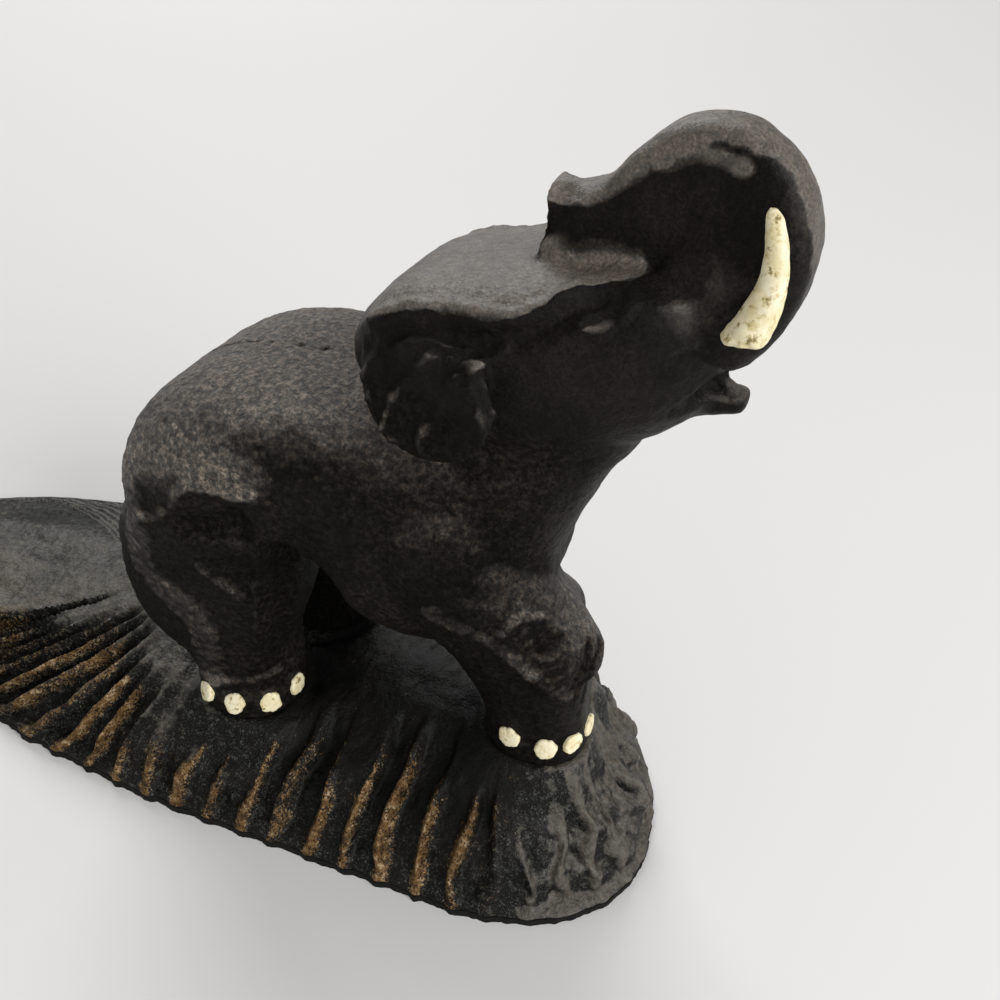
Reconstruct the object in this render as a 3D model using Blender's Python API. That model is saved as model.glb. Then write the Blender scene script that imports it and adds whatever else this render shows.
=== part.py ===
"""Elephant doorstop: two cored half castings of an elephant on a hollow rocky wedge.

Sizes are in millimetres and MM turns them into metres. X runs from the wedge's thin tail to the
elephant's head, Z is up, and the elephant's seam is the plane y = 0. Its right side is at -Y.
"""
import math

import bmesh
import bpy
import numpy as np
from mathutils import Matrix, Vector
from mathutils.bvhtree import BVHTree

MM = 0.001
GAP = 0.3                  # left between two pieces that touch
OVERCUT = 1.0              # how far a cutter runs past the face it opens

# Wedge: its plan, its walls and its crest
WEDGE_FRONT_X = 115.0
WEDGE_TAIL_X = -131.0
WEDGE_HALF_WIDTH = 46.4
WEDGE_WIDEST_X = 0.0
WEDGE_FRONT_TAPER = 0.085
NOSE_LENGTH = 40.0
NOSE_ROUNDNESS = 2.1
NOSE_SKEW = 6.0            # how far the nose's tip lies toward the right side
TAIL_ROUNDNESS = 3.0
TAIL_BLUNTNESS = 0.7
WEDGE_WALL = 4.5
CAVITY_TAIL_X = -98.0
CREST_NOSE_INSET = 36.0
CREST_TAIL_INSET = 20.0
DOME_FULLNESS = 1.95       # 2 is an elliptical flank, less is more of a cone
# Crest over the tail: x and height
TAIL_CREST = (
    (-111.0, 6.8),
    (-90.0, 9.2),
    (-66.0, 12.4),
    (-40.0, 18.8),
    (-12.0, 25.3),
)
CREST_OVER_HIND_LAND = 2.5
CREST_OVER_FRONT_LAND = 0.6# Grooves down the wedge's flank
RIDGE_COUNT = 64
SIDES_PER_RIDGE = 3
FLANK_RINGS = 7
RIDGE_DEPTH = 3.0
RIDGE_VARIETY = 2.4        # turn in radians from one groove's depth to the next
RIDGE_LEAN = 9.0           # how far a groove's foot lies round the wedge from its top
RIDGE_START = 0.3          # share of the way down the flank where grooves begin
RIDGE_FULL = 0.65          # and where they reach their depth
RIDGE_AIM_INSET = 30.0     # grooves are cut toward a line this far in from the wedge's ends

# Sheet under the wedge
PAD_THICKNESS = 2.0
PAD_SIDES = 72
PAD_MARGIN = 0.2
PAD_JAG = 0.45

# Lands on the wedge, and the feet that stand on them
HIND_LAND_HEIGHT = 21.0
FRONT_LAND_HEIGHT = 31.5
LAND_MARGIN = 0.9          # of the raised land round a foot
LAND_CLEARANCE = 0.5       # of the cut above it
HIND_FOOT_X = 13.5
HIND_FOOT_Y = 16.6
HIND_FOOT_RADIUS = 12.6
FRONT_FOOT_X = 84.0
FRONT_FOOT_Y = 6.2
FRONT_FOOT_LENGTH_RADIUS = 12.0
FRONT_FOOT_WIDTH_RADIUS = 11.0
FRONT_LEFT_STEP = 4.0      # how far the left front foot stands behind the right one
FRONT_LEFT_LEAN = 16.0     # how much further back the left leg is at its shoulder
FRONT_LEFT_DROP = 5.0      # how much lower the left knee is than the right one
FOOT_FULLNESS = 2.2
ANKLE_HEIGHT = 4.0         # up to here a foot is straight

# Elephant's half castings
HALF_WALL = 6.0
VOXEL = 1.25
SOFTENING = 3.3            # how far smoothing melts the joints
HALF_FACETS = 1900
# Torso sections from rump to chest: x, back height, belly height, half width
TORSO = (
    (-16.4, 77.0, 57.0, 10.0),
    (-13.4, 86.0, 49.0, 18.0),
    (-7.6, 94.9, 44.0, 25.5),
    (-0.4, 101.9, 43.0, 30.5),
    (12.0, 107.6, 50.0, 31.5),
    (30.0, 110.6, 68.0, 28.5),
    (48.0, 110.2, 52.5, 25.5),
    (64.0, 109.0, 51.5, 21.0),
    (76.0, 104.0, 62.0, 15.0),
    (83.0, 95.0, 76.0, 7.0),
)
BACK_FULLNESS = 3.8
BELLY_FULLNESS = 2.4
# Head sections from the nape to the face: x, z, half height, half width
HEAD = (
    (42.5, 110.0, 8.0, 8.0),
    (48.5, 115.0, 14.4, 16.0),
    (57.0, 118.5, 18.7, 19.5),
    (69.0, 122.0, 19.4, 20.2),
    (81.0, 126.5, 18.8, 19.5),
    (92.0, 131.0, 16.6, 17.0),
    (100.0, 135.0, 13.6, 14.0),
    (105.5, 138.0, 8.6, 9.5),
)
HEAD_TILT = 22.0
CROWN_FULLNESS = 3.4
HEAD_FULLNESS = 2.6
HEAD_TAPER = 0.25          # how much wider the head is at its crown than halfway down
# Neck and chest from below up: z, x, y, radius along x, radius along y and fullness
NECK = (
    (66.0, 58.0, 0.0, 18.0, 17.0, 2.2),
    (80.0, 60.0, 0.0, 22.4, 19.0, 2.2),
    (91.0, 62.0, 0.0, 24.0, 18.5, 2.3),
    (103.0, 66.5, 0.0, 24.0, 17.0, 2.3),
    (112.0, 72.5, 0.0, 23.0, 15.0, 2.2),
    (120.0, 80.0, 0.0, 18.0, 12.0, 2.2),
)
# Trunk from the face over to its tip on the forehead: x, z, radius and half width
TRUNK = (
    (101.5, 138.0, 9.6, 11.6),
    (104.4, 144.0, 11.2, 10.6),
    (106.1, 151.5, 11.2, 8.0),
    (103.7, 158.2, 11.0, 6.2),
    (98.9, 160.4, 10.6, 5.8),
    (93.4, 157.0, 9.6, 5.8),
    (88.3, 152.4, 8.4, 6.0),
    (83.0, 149.4, 7.7, 6.2),
    (78.0, 148.7, 7.7, 6.6),
    (73.2, 148.6, 7.7, 6.8),
)
TRUNK_FULLNESS = 4.5
JAW = (
    (90.0, 120.0, 7.0, 9.0),
    (100.0, 123.6, 4.5, 6.2),
    (107.5, 124.6, 3.3, 4.4),
    (112.0, 125.0, 2.3, 3.0),
)
# What joins the front legs under the chest
BRIDGE = (
    (70.0, 74.0, 8.0, 8.0),
    (78.0, 64.0, 8.6, 8.0),
    (84.0, 58.5, 8.0, 7.5),
    (89.0, 57.0, 5.6, 6.0),
)
TAIL = (
    (-14.0, 80.0, 2.6, 2.6),
    (-17.6, 72.0, 2.8, 2.8),
    (-18.8, 62.0, 2.4, 2.4),
    (-17.6, 52.0, 2.0, 2.0),
    (-15.8, 45.0, 2.8, 2.8),
)
# Front leg from its foot to the shoulder: z above the land, x from the foot, y, radius along x,
# radius along y and fullness
FRONT_LEG = (
    (10.0, -1.2, 6.5, 12.3, 9.8, 2.4),
    (18.0, -3.6, 6.8, 14.3, 10.2, 2.7),
    (26.0, -7.0, 7.4, 17.0, 11.4, 2.8),
    (34.0, -12.0, 8.6, 21.5, 12.8, 2.7),
    (44.0, -17.0, 10.0, 17.5, 13.5, 2.4),
    (56.0, -22.0, 9.5, 13.0, 12.0, 2.2),
)
HIND_LEG = (
    (10.0, -1.5, 15.5, 13.2, 11.0, 2.6),
    (18.0, -7.0, 15.0, 17.7, 12.6, 3.2),
    (27.0, -7.8, 14.5, 20.6, 14.0, 3.5),
    (38.0, -7.0, 14.0, 22.4, 15.0, 3.4),
    (50.0, -5.0, 14.0, 22.0, 15.8, 3.0),
    (62.0, -1.5, 12.5, 17.0, 14.0, 2.4),
)
KNEE = (4.0, 7.5, 60.5)
KNEE_RADII = (8.8, 8.4, 9.0)
THIGH = (15.0, 16.0, 76.0)
THIGH_RADII = (16.5, 15.0, 22.0)
SHOULDER = (60.0, 10.5, 84.0)
SHOULDER_RADII = (16.0, 14.5, 18.0)
WEB = (94.0, 0.0, 150.0)
WEB_RADII = (9.0, 5.0, 8.0)
EAR = (61.8, 22.5, 122.8)
EAR_RADII = (14.2, 3.4, 12.8)
EAR_YAW = 9.0
EAR_ROLL = 8.0

# Hollows, folds and rims on the right side, and alike on the left; y counts outward here.
# Each is a path of x, y, z, then its reach and how far it stands up or, below zero, sinks.
FOLDS = (
    # pocket beside the trunk's tip
    (((76.5, 5.0, 154.5), (75.0, 5.0, 150.0)), 4.2, -2.0),
    # edge of the crown above the ear, and the groove under it
    (((50.0, 21.5, 131.0), (56.8, 22.0, 136.2), (62.3, 22.0, 138.3), (69.4, 22.0, 139.1),
      (74.5, 21.5, 139.8), (79.4, 20.0, 141.6), (84.0, 17.5, 143.6), (88.0, 14.5, 147.5)), 2.8, 0.9),
    (((51.0, 22.5, 127.6), (57.0, 23.0, 132.8), (62.5, 23.0, 134.8), (69.4, 23.0, 135.6),
      (75.0, 22.5, 136.2), (80.0, 21.0, 138.0), (85.0, 18.5, 140.0)), 3.2, -1.3),
    # eye socket and its lid
    (((90.0, 17.0, 142.0),), 7.0, -1.4),
    (((86.5, 18.0, 139.4), (90.0, 17.5, 139.2), (93.6, 16.5, 141.6)), 2.2, 1.3),
    # mouth above the jaw
    (((100.0, 9.0, 126.5), (107.0, 6.0, 129.0), (111.0, 0.0, 130.0)), 3.4, -2.4),
    # fold from under the ear to the jaw
    (((62.0, 24.0, 106.0), (74.0, 21.0, 107.0), (84.0, 17.0, 113.0)), 5.0, -1.6),
    # hollow in the thigh, the crease in front of it and the belly's tuck
    (((8.0, 28.0, 76.0), (20.0, 30.0, 78.0)), 9.0, -2.6),
    (((30.0, 28.0, 92.0), (31.0, 28.0, 78.0), (28.0, 25.0, 58.0)), 5.0, -2.0),
    (((35.0, 26.0, 82.0), (39.0, 23.0, 70.0)), 8.0, -1.6),
    # dimple beside the knee
    (((86.0, 16.0, 65.0),), 4.5, -1.6),
    # nostrils in the trunk's end
    (((66.5, 3.0, 149.0),), 4.0, -2.0),
)
# The same on the ear, in shares of its radii across and up
EAR_FOLDS = (
    # sunk dish
    (((-0.3, 0.3), (0.3, -0.2)), 9.0, -1.6),
    # rim along the back and below
    (((-0.93, 0.06), (-0.88, -0.25), (-0.72, -0.51), (-0.42, -0.85), (-0.07, -0.93), (0.32, -0.82),
      (0.8, -0.55), (1.02, -0.29)), 3.2, 1.5),
    # two folds that fan down from the top
    (((0.1, 0.54), (-0.11, 0.08), (-0.34, -0.28), (-0.41, -0.58)), 2.5, 1.5),
    (((0.48, 0.51), (0.39, -0.03), (0.38, -0.49)), 2.5, 1.3),
    # rolled front edge, and the band along the top
    (((1.02, 1.14), (0.8, 0.82), (0.78, 0.51), (0.95, 0.21), (1.08, 0.09)), 2.8, 1.9),
    (((-0.82, 0.67), (-0.44, 0.77), (0.06, 0.89), (0.53, 1.05), (0.98, 1.21)), 3.0, 1.0),
)

# Tusks and toenails
TUSK_BASE = (110.2, 12.2, 141.8)
TUSK_TIP = (110.0, 8.8, 161.8)
TUSK_BOW = 2.4
TUSK_FLATNESS = 0.8
# Share of the way to the tip, and radius there
TUSK_SECTIONS = (
    (0.0, 2.6),
    (0.06, 3.5),
    (0.25, 3.0),
    (0.5, 2.2),
    (0.8, 1.7),
    (0.94, 1.3),
    (1.0, 0.6),
)
NAIL_WIDTH = 5.4
NAIL_HEIGHT = 5.6
NAIL_THICKNESS = 2.4
NAIL_PROUD = 0.9
HIND_NAIL_LIFT = 4.6       # of a nail's middle above the land
FRONT_NAIL_LIFT = 6.0
NAIL_LOOK_FROM = 40.0
HIND_NAIL_ANGLES = (-25.0, 14.0, 54.0, 92.0)
FRONT_NAIL_ANGLES = (-16.0, 30.0, 62.0, 95.0)# Machine screws
SCREW_RADIUS = 2.0
SCREW_HEAD_RADIUS = 3.8
SCREW_HEAD_HEIGHT = 2.6
SCREW_HEAD_EDGE = 1.4
SCREW_STEPS = 10
FOOT_SCREW_GRIP = 7.0
FOOT_SCREW_THREAD = 9.0
BODY_SCREWS = ((9.0, 70.0), (57.0, 92.0))
BODY_SCREW_SEAT_Y = 17.0
BODY_SCREW_END_Y = 12.0
BOSS_RADIUS = 6.0
SHANK_HOLE_SIDES = 16
REACH = 160.0              # further than any piece goes from the middle

RIGHT = -1.0
LEFT = 1.0


def clear_scene():
    for item in list(bpy.data.objects):
        bpy.data.objects.remove(item, do_unlink=True)


def catmull(rows, per_span):
    """Points of a smooth curve through rows of numbers."""
    rows = np.asarray(rows, float)
    padded = np.vstack([2 * rows[0] - rows[1], rows, 2 * rows[-1] - rows[-2]])
    t = np.linspace(0.0, 1.0, per_span, endpoint=False)[:, None]
    spans = []
    for i in range(len(rows) - 1):
        a, b, c, d = padded[i:i + 4]
        spans.append(0.5 * (2 * b + (c - a) * t + (2 * a - 5 * b + 4 * c - d) * t ** 2
                            + (3 * b - a - 3 * c + d) * t ** 3))
    spans.append(rows[-1:])
    return np.vstack(spans)


def superellipse(count, fullness, low_fullness=None):
    """Unit outline: a circle at fullness 2, squarer above it; the lower half can have its own."""
    angles = np.linspace(0.0, 2 * math.pi, count, endpoint=False)
    power = 2.0 / np.where(np.sin(angles) < 0.0, low_fullness or fullness, fullness)
    across = np.sign(np.cos(angles)) * np.abs(np.cos(angles)) ** power
    up = np.sign(np.sin(angles)) * np.abs(np.sin(angles)) ** power
    return across, up


def add_loft(bm, rings):
    """A closed skin over rings of points, with a fan at each end."""
    loops = [[bm.verts.new(Vector(point) * MM) for point in ring] for ring in rings]
    count = len(loops[0])
    for low, high in zip(loops, loops[1:]):
        for i in range(count):
            j = (i + 1) % count
            bm.faces.new((low[i], low[j], high[j], high[i]))
    bm.faces.new(reversed(loops[0]))
    bm.faces.new(loops[-1])


def add_sections(bm, rows, outline, tilt=0.0, taper=0.0, inset=0.0, per_span=3):
    """A loft over upright sections of x, z, half height and half width, leaning by tilt."""
    across, up = outline
    lean = math.radians(tilt)
    rings = []
    for x, z, half_height, half_width in catmull(rows, per_span):
        half_height -= inset
        half_width -= inset
        rings.append(np.column_stack([
            x - math.sin(lean) * half_height * up,
            half_width * across * (1.0 + taper * up),
            z + math.cos(lean) * half_height * up,
        ]))
    add_loft(bm, rings)


def torso_rows():
    return [(x, (top + low) / 2, (top - low) / 2, width) for x, top, low, width in TORSO]


def add_tube(bm, rows, fullness=2.0, count=28):
    """A tube along a path in the seam plane: x, z, radius in that plane and half width across it."""
    path = catmull(rows, 4)
    slope = np.gradient(path[:, :2], axis=0)
    slope /= np.linalg.norm(slope, axis=1)[:, None]
    across, up = superellipse(count, fullness)
    rings = []
    for (x, z, radius, half_width), (run, rise) in zip(path, slope):
        rings.append(np.column_stack([
            x - rise * radius * up,
            half_width * across,
            z + run * radius * up,
        ]))
    add_loft(bm, rings)


def add_upright(bm, rows, side, count=24):
    """A loft over level sections of z, x, y, radius along x, radius along y and fullness."""
    rings = []
    for z, x, y, radius_x, radius_y, fullness in catmull(rows, 3):
        across, up = superellipse(count, fullness)
        rings.append(np.column_stack([
            x + radius_x * across,
            side * y + radius_y * up,
            np.full(count, z),
        ]))
    add_loft(bm, rings)


def add_ball(bm, centre, radii, turn=Matrix.Identity(4)):
    """An ellipsoid."""
    scale = Matrix.Diagonal(Vector(radii) * MM).to_4x4()
    place = Matrix.Translation(Vector(centre) * MM) @ turn @ scale
    bmesh.ops.create_icosphere(bm, subdivisions=4, radius=1.0, matrix=place)


def leg_rows(land, foot, leg, step=0.0, lean=0.0, drop=0.0):
    """A leg's sections from below its land up: a straight hoof, then the leg.

    A step sets the whole leg back, a lean sets its shoulder back further, and a drop lowers its knee.
    """
    foot_x, *section = foot
    rows = [(-OVERCUT, 0.0, *section, FOOT_FULLNESS), (ANKLE_HEIGHT, 0.0, *section, FOOT_FULLNESS), *leg]
    top = leg[-1][0]
    placed = []
    for z, x, *rest in rows:
        share = max(z, 0.0) / top
        placed.append((land + z - drop * math.sin(math.pi * share), foot_x + x - step - lean * share, *rest))
    return placed


def mirrored(centre, side):
    x, y, z = centre
    return (x, side * y, z)


def ear_turn(side):
    yaw = Matrix.Rotation(math.radians(EAR_YAW * side), 4, "Z")
    roll = Matrix.Rotation(math.radians(EAR_ROLL * side), 4, "X")
    return yaw @ roll


def front_leg_set(side):
    """Step, lean and drop of a front leg: the left one stands a little behind the right one."""
    return (FRONT_LEFT_STEP, FRONT_LEFT_LEAN, FRONT_LEFT_DROP) if side == LEFT else (0.0, 0.0, 0.0)


def add_elephant_masses(bm):
    """Overlapping closed volumes that a remesh then runs together."""
    add_sections(bm, torso_rows(), superellipse(28, BACK_FULLNESS, BELLY_FULLNESS))
    add_sections(bm, HEAD, superellipse(28, CROWN_FULLNESS, HEAD_FULLNESS), HEAD_TILT, HEAD_TAPER)
    add_upright(bm, NECK, RIGHT)
    add_tube(bm, TRUNK, TRUNK_FULLNESS)
    for tube in (JAW, TAIL, BRIDGE):
        add_tube(bm, tube)
    add_ball(bm, WEB, WEB_RADII)
    front_foot = (FRONT_FOOT_X, FRONT_FOOT_Y, FRONT_FOOT_LENGTH_RADIUS, FRONT_FOOT_WIDTH_RADIUS)
    hind_foot = (HIND_FOOT_X, HIND_FOOT_Y, HIND_FOOT_RADIUS, HIND_FOOT_RADIUS)
    for side in (RIGHT, LEFT):
        step, lean, drop = front_leg_set(side)
        add_upright(bm, leg_rows(FRONT_LAND_HEIGHT, front_foot, FRONT_LEG, step, lean, drop), side)
        add_upright(bm, leg_rows(HIND_LAND_HEIGHT, hind_foot, HIND_LEG), side)
        knee_x, knee_y, knee_z = KNEE
        add_ball(bm, (FRONT_FOOT_X + knee_x - step - lean / 3, side * knee_y, knee_z - drop), KNEE_RADII)
        add_ball(bm, mirrored(THIGH, side), THIGH_RADII)
        add_ball(bm, mirrored(SHOULDER, side), SHOULDER_RADII)
        add_ball(bm, mirrored(EAR, side), EAR_RADII, ear_turn(side))


def object_from(bm, name):
    mesh = bpy.data.meshes.new(name)
    bmesh.ops.recalc_face_normals(bm, faces=bm.faces)
    bm.to_mesh(mesh)
    bm.free()
    item = bpy.data.objects.new(name, mesh)
    bpy.context.scene.collection.objects.link(item)
    return item


def bake(item):
    """Keep what the modifiers make, and drop the modifiers."""
    graph = bpy.context.evaluated_depsgraph_get()
    mesh = bpy.data.meshes.new_from_object(item.evaluated_get(graph))
    item.modifiers.clear()
    item.data = mesh


def close_up(item):
    """Run slivers together and drop stray edges after a cut."""
    bm = bmesh.new()
    bm.from_mesh(item.data)
    bmesh.ops.remove_doubles(bm, verts=bm.verts, dist=0.00002)
    bmesh.ops.dissolve_degenerate(bm, edges=bm.edges, dist=0.00001)
    bmesh.ops.delete(bm, geom=[edge for edge in bm.edges if not edge.link_faces], context="EDGES")
    bmesh.ops.delete(bm, geom=[vert for vert in bm.verts if not vert.link_edges], context="VERTS")
    bm.to_mesh(item.data)
    bm.free()


def boolean(item, cutter, operation):
    modifier = item.modifiers.new(operation.lower(), "BOOLEAN")
    modifier.operation = operation
    modifier.solver = "EXACT"
    modifier.object = cutter
    bake(item)
    close_up(item)
    bpy.data.objects.remove(cutter, do_unlink=True)


def polyline_distance(points, path):
    """Distance from each point to a path of straight runs."""
    nearest = np.full(len(points), np.inf)
    for a, b in zip(path[:-1], path[1:]):
        run = b - a
        along = np.clip((points - a) @ run / max(run @ run, 1e-9), 0.0, 1.0)
        nearest = np.minimum(nearest, np.linalg.norm(points - a - along[:, None] * run, axis=1))
    return nearest


def stroke(points, normals, path, radius, height):
    """Raise the surface along a path, or sink it where the height is negative."""
    path = catmull(path, 4) if len(path) > 1 else np.asarray([path[0], path[0]], float)
    fade = np.clip(1.0 - polyline_distance(points, path) / radius, 0.0, 1.0)
    points += normals * (height * fade * fade * (3.0 - 2.0 * fade))[:, None]


def on_ear(spots):
    """Points on the ear's outer face, given as shares of its radii; y counts outward."""
    turn = ear_turn(LEFT)
    return [tuple(Vector(EAR) + turn @ Vector((across * EAR_RADII[0], EAR_RADII[1] / 2, up * EAR_RADII[2])))
            for across, up in spots]


def carve_folds(points, normals):
    for path, reach, height in FOLDS:
        stroke(points, normals, path, reach, height)
    for spots, reach, height in EAR_FOLDS:
        stroke(points, normals, on_ear(spots), reach, height)


def elephant_form(name):
    """The whole elephant as one skin, before it is split on its seam."""
    bm = bmesh.new()
    add_elephant_masses(bm)
    item = object_from(bm, name)
    remesh = item.modifiers.new("run_together", "REMESH")
    remesh.mode = "VOXEL"
    remesh.voxel_size = VOXEL * MM
    smooth = item.modifiers.new("soften", "SMOOTH")
    smooth.factor = 0.5
    smooth.iterations = round((SOFTENING / VOXEL) ** 2)
    bake(item)
    mesh = item.data
    points = np.empty(len(mesh.vertices) * 3)
    mesh.vertices.foreach_get("co", points)
    points = points.reshape(-1, 3) / MM
    normals = np.array([corner.vector for corner in mesh.vertex_normals])
    side = np.where(points[:, 1] < 0.0, -1.0, 1.0)
    points[:, 1] *= side
    normals[:, 1] *= side
    carve_folds(points, normals)
    points[:, 1] *= side
    mesh.vertices.foreach_set("co", (points * MM).ravel())
    mesh.update()
    thin = item.modifiers.new("thin_out", "DECIMATE")
    mesh.calc_loop_triangles()
    thin.ratio = 2.0 * HALF_FACETS / len(mesh.loop_triangles)
    bake(item)
    return item


def box(name, low, high):
    bm = bmesh.new()
    size = Vector(high) - Vector(low)
    place = Matrix.Translation((Vector(low) + size / 2) * MM) @ Matrix.Diagonal(size * MM).to_4x4()
    bmesh.ops.create_cube(bm, size=1.0, matrix=place)
    return object_from(bm, name)


def rod(name, start, end, radius, count=24):
    """A cylinder between two points."""
    bm = bmesh.new()
    start = Vector(start)
    run = Vector(end) - start
    turn = run.to_track_quat("Z", "Y").to_matrix().to_4x4()
    place = Matrix.Translation((start + run / 2) * MM) @ turn
    bmesh.ops.create_cone(bm, cap_ends=True, segments=count, radius1=radius * MM,
                          radius2=radius * MM, depth=run.length * MM, matrix=place)
    return object_from(bm, name)


def screw(name, seat, tip):
    """A pan head screw turned about its axis: the head's underside is at the seat."""
    seat = Vector(seat)
    length = (Vector(tip) - seat).length
    chamfer = SCREW_RADIUS / 2
    profile = [(0.0, -SCREW_HEAD_HEIGHT), (SCREW_RADIUS, -SCREW_HEAD_HEIGHT),
               (SCREW_HEAD_RADIUS, -SCREW_HEAD_EDGE), (SCREW_HEAD_RADIUS, 0.0), (SCREW_RADIUS, 0.0),
               (SCREW_RADIUS, length - chamfer), (SCREW_RADIUS - chamfer, length), (0.0, length)]
    bm = bmesh.new()
    points = [bm.verts.new(Vector((radius, 0.0, z)) * MM) for radius, z in profile]
    edges = [bm.edges.new(pair) for pair in zip(points, points[1:])]
    bmesh.ops.spin(bm, geom=points + edges, cent=(0, 0, 0), axis=(0, 0, 1),
                   angle=2 * math.pi, steps=SCREW_STEPS, use_merge=True)
    bmesh.ops.remove_doubles(bm, verts=bm.verts, dist=0.00001)
    turn = (Vector(tip) - seat).to_track_quat("Z", "Y").to_matrix().to_4x4()
    bmesh.ops.transform(bm, matrix=Matrix.Translation(seat * MM) @ turn, verts=bm.verts)
    return object_from(bm, name)


def core(name):
    """What the sand core leaves hollow inside the torso and the head, clear of the screw bosses."""
    bm = bmesh.new()
    add_sections(bm, torso_rows()[1:-1], superellipse(20, BACK_FULLNESS, BELLY_FULLNESS),
                 inset=HALF_WALL, per_span=1)
    hollow = object_from(bm, name)
    bm = bmesh.new()
    add_sections(bm, HEAD[1:-2], superellipse(16, CROWN_FULLNESS, HEAD_FULLNESS), HEAD_TILT, HEAD_TAPER,
                 inset=HALF_WALL, per_span=1)
    boolean(hollow, object_from(bm, "head_core"), "UNION")
    for x, z in BODY_SCREWS:
        boolean(hollow, rod("boss", (x, -REACH, z), (x, REACH, z), BOSS_RADIUS), "DIFFERENCE")
    return hollow


def dome(name, front_x, tail_x, half_width, top, sides, rings, floor, lean=0.0, relief=None):
    """A hump over the wedge's plan: rings of the plan that close in on the crest line, then a strip."""
    bm = bmesh.new()
    loops = []
    for ring in range(1, rings + 1):
        share = ring / rings
        plan = plan_outline(front_x, tail_x, half_width, sides, lean * share)
        spine = np.clip(plan[:, 0], tail_x + CREST_TAIL_INSET, front_x - CREST_NOSE_INSET)
        out = math.sin(math.pi / 2 * share) ** (2.0 / DOME_FULLNESS)
        height = math.cos(math.pi / 2 * share) ** (2.0 / DOME_FULLNESS)
        loop = np.column_stack([spine + (plan[:, 0] - spine) * out, plan[:, 1] * out,
                                floor + (top(spine) - floor) * height])
        if relief is not None:
            loop += relief(plan, share)
        loops.append([bm.verts.new(Vector(point) * MM) for point in loop])
    for high, low in zip(loops, loops[1:]):
        for i in range(sides):
            j = (i + 1) % sides
            bm.faces.new((high[i], low[i], low[j], high[j]))
    bm.faces.new(reversed(loops[-1]))
    crest = loops[0]
    for i in range(sides // 2):
        corners = dict.fromkeys((i, i + 1, sides - i - 1, (sides - i) % sides))
        bm.faces.new([crest[k] for k in corners])
    return object_from(bm, name)


def nose_share(x, front_x):
    """0 where the wedge's nose begins, 1 at its tip."""
    return np.clip((x - (front_x - NOSE_LENGTH)) / NOSE_LENGTH, 0.0, 1.0)


def half_width_at(x, front_x, tail_x, half_width):
    """The plan's half width: nearly straight sides, a round nose and a long tapered tail."""
    straight = half_width - WEDGE_FRONT_TAPER * np.clip(x - WEDGE_WIDEST_X, 0.0, None)
    nose = nose_share(x, front_x)
    tail = np.clip((WEDGE_WIDEST_X - x) / (WEDGE_WIDEST_X - tail_x), 0.0, 1.0)
    return straight * np.sqrt(1.0 - nose ** NOSE_ROUNDNESS) * (1.0 - tail ** TAIL_ROUNDNESS) ** TAIL_BLUNTNESS


def plan_outline(front_x, tail_x, half_width, sides, shift=0.0):
    """Points of the plan, evenly spaced round it, from the tail along -Y; a shift starts further on."""
    angle = np.linspace(0.0, math.pi, 400)
    x = (front_x + tail_x) / 2 - (front_x - tail_x) / 2 * np.cos(angle)
    y = -half_width_at(x, front_x, tail_x, half_width)
    near = np.column_stack([x, y])
    far = near[::-1][1:-1] * np.array([1.0, -1.0])
    loop = np.vstack([near, far, near[:1]])
    loop[:, 1] -= NOSE_SKEW * nose_share(loop[:, 0], front_x) ** 2
    steps = np.concatenate([[0.0], np.cumsum(np.linalg.norm(np.diff(loop, axis=0), axis=1))])
    wanted = (np.linspace(0.0, steps[-1], sides, endpoint=False) + shift) % steps[-1]
    return np.column_stack([np.interp(wanted, steps, loop[:, 0]), np.interp(wanted, steps, loop[:, 1])])


def crest_height(x):
    """Height of the wedge's crest, from its thin tail past the hind lands to the front land."""
    hind = HIND_LAND_HEIGHT + CREST_OVER_HIND_LAND
    front = FRONT_LAND_HEIGHT + CREST_OVER_FRONT_LAND
    rows = catmull((
        *TAIL_CREST,
        (HIND_FOOT_X, hind),
        ((HIND_FOOT_X + FRONT_FOOT_X) / 2, (hind + front) / 2),
        (FRONT_FOOT_X, front),
    ), 6)
    return np.interp(x, rows[:, 0], rows[:, 1])


def ridges(plan, share):
    """Grooves down the flank: one of a ridge's sides sinks, each groove to its own depth."""
    groove, place = np.divmod(np.arange(len(plan)), SIDES_PER_RIDGE)
    depth = RIDGE_DEPTH * (3.0 + np.cos(RIDGE_VARIETY * groove)) / 4
    grow = np.clip((share - RIDGE_START) / (RIDGE_FULL - RIDGE_START), 0.0, 1.0)
    aim_x = np.clip(plan[:, 0], WEDGE_TAIL_X + RIDGE_AIM_INSET, WEDGE_FRONT_X - RIDGE_AIM_INSET)
    out = plan - np.column_stack([aim_x, np.zeros(len(plan))])
    out /= np.linalg.norm(out, axis=1)[:, None]
    push = np.where(place == 0, depth * grow, 0.0)
    return np.column_stack([-out * push[:, None], np.zeros(len(plan))])


def wedge_floor():
    return PAD_THICKNESS + GAP


def feet():
    """Each foot's place: x, y, radius along x, radius along y and its land's height."""
    for side in (RIGHT, LEFT):
        step, _, _ = front_leg_set(side)
        yield (FRONT_FOOT_X - step, side * FRONT_FOOT_Y, FRONT_FOOT_LENGTH_RADIUS,
               FRONT_FOOT_WIDTH_RADIUS, FRONT_LAND_HEIGHT)
        yield HIND_FOOT_X, side * HIND_FOOT_Y, HIND_FOOT_RADIUS, HIND_FOOT_RADIUS, HIND_LAND_HEIGHT


def foot_prism(name, foot, margin, low, high, count=32):
    """An upright prism with a foot's outline, grown by a margin."""
    x, y, radius_x, radius_y, _ = foot
    across, up = superellipse(count, FOOT_FULLNESS)
    bm = bmesh.new()
    add_loft(bm, [np.column_stack([x + (radius_x + margin) * across, y + (radius_y + margin) * up,
                                   np.full(count, z)]) for z in (low, high)])
    return object_from(bm, name)


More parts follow.
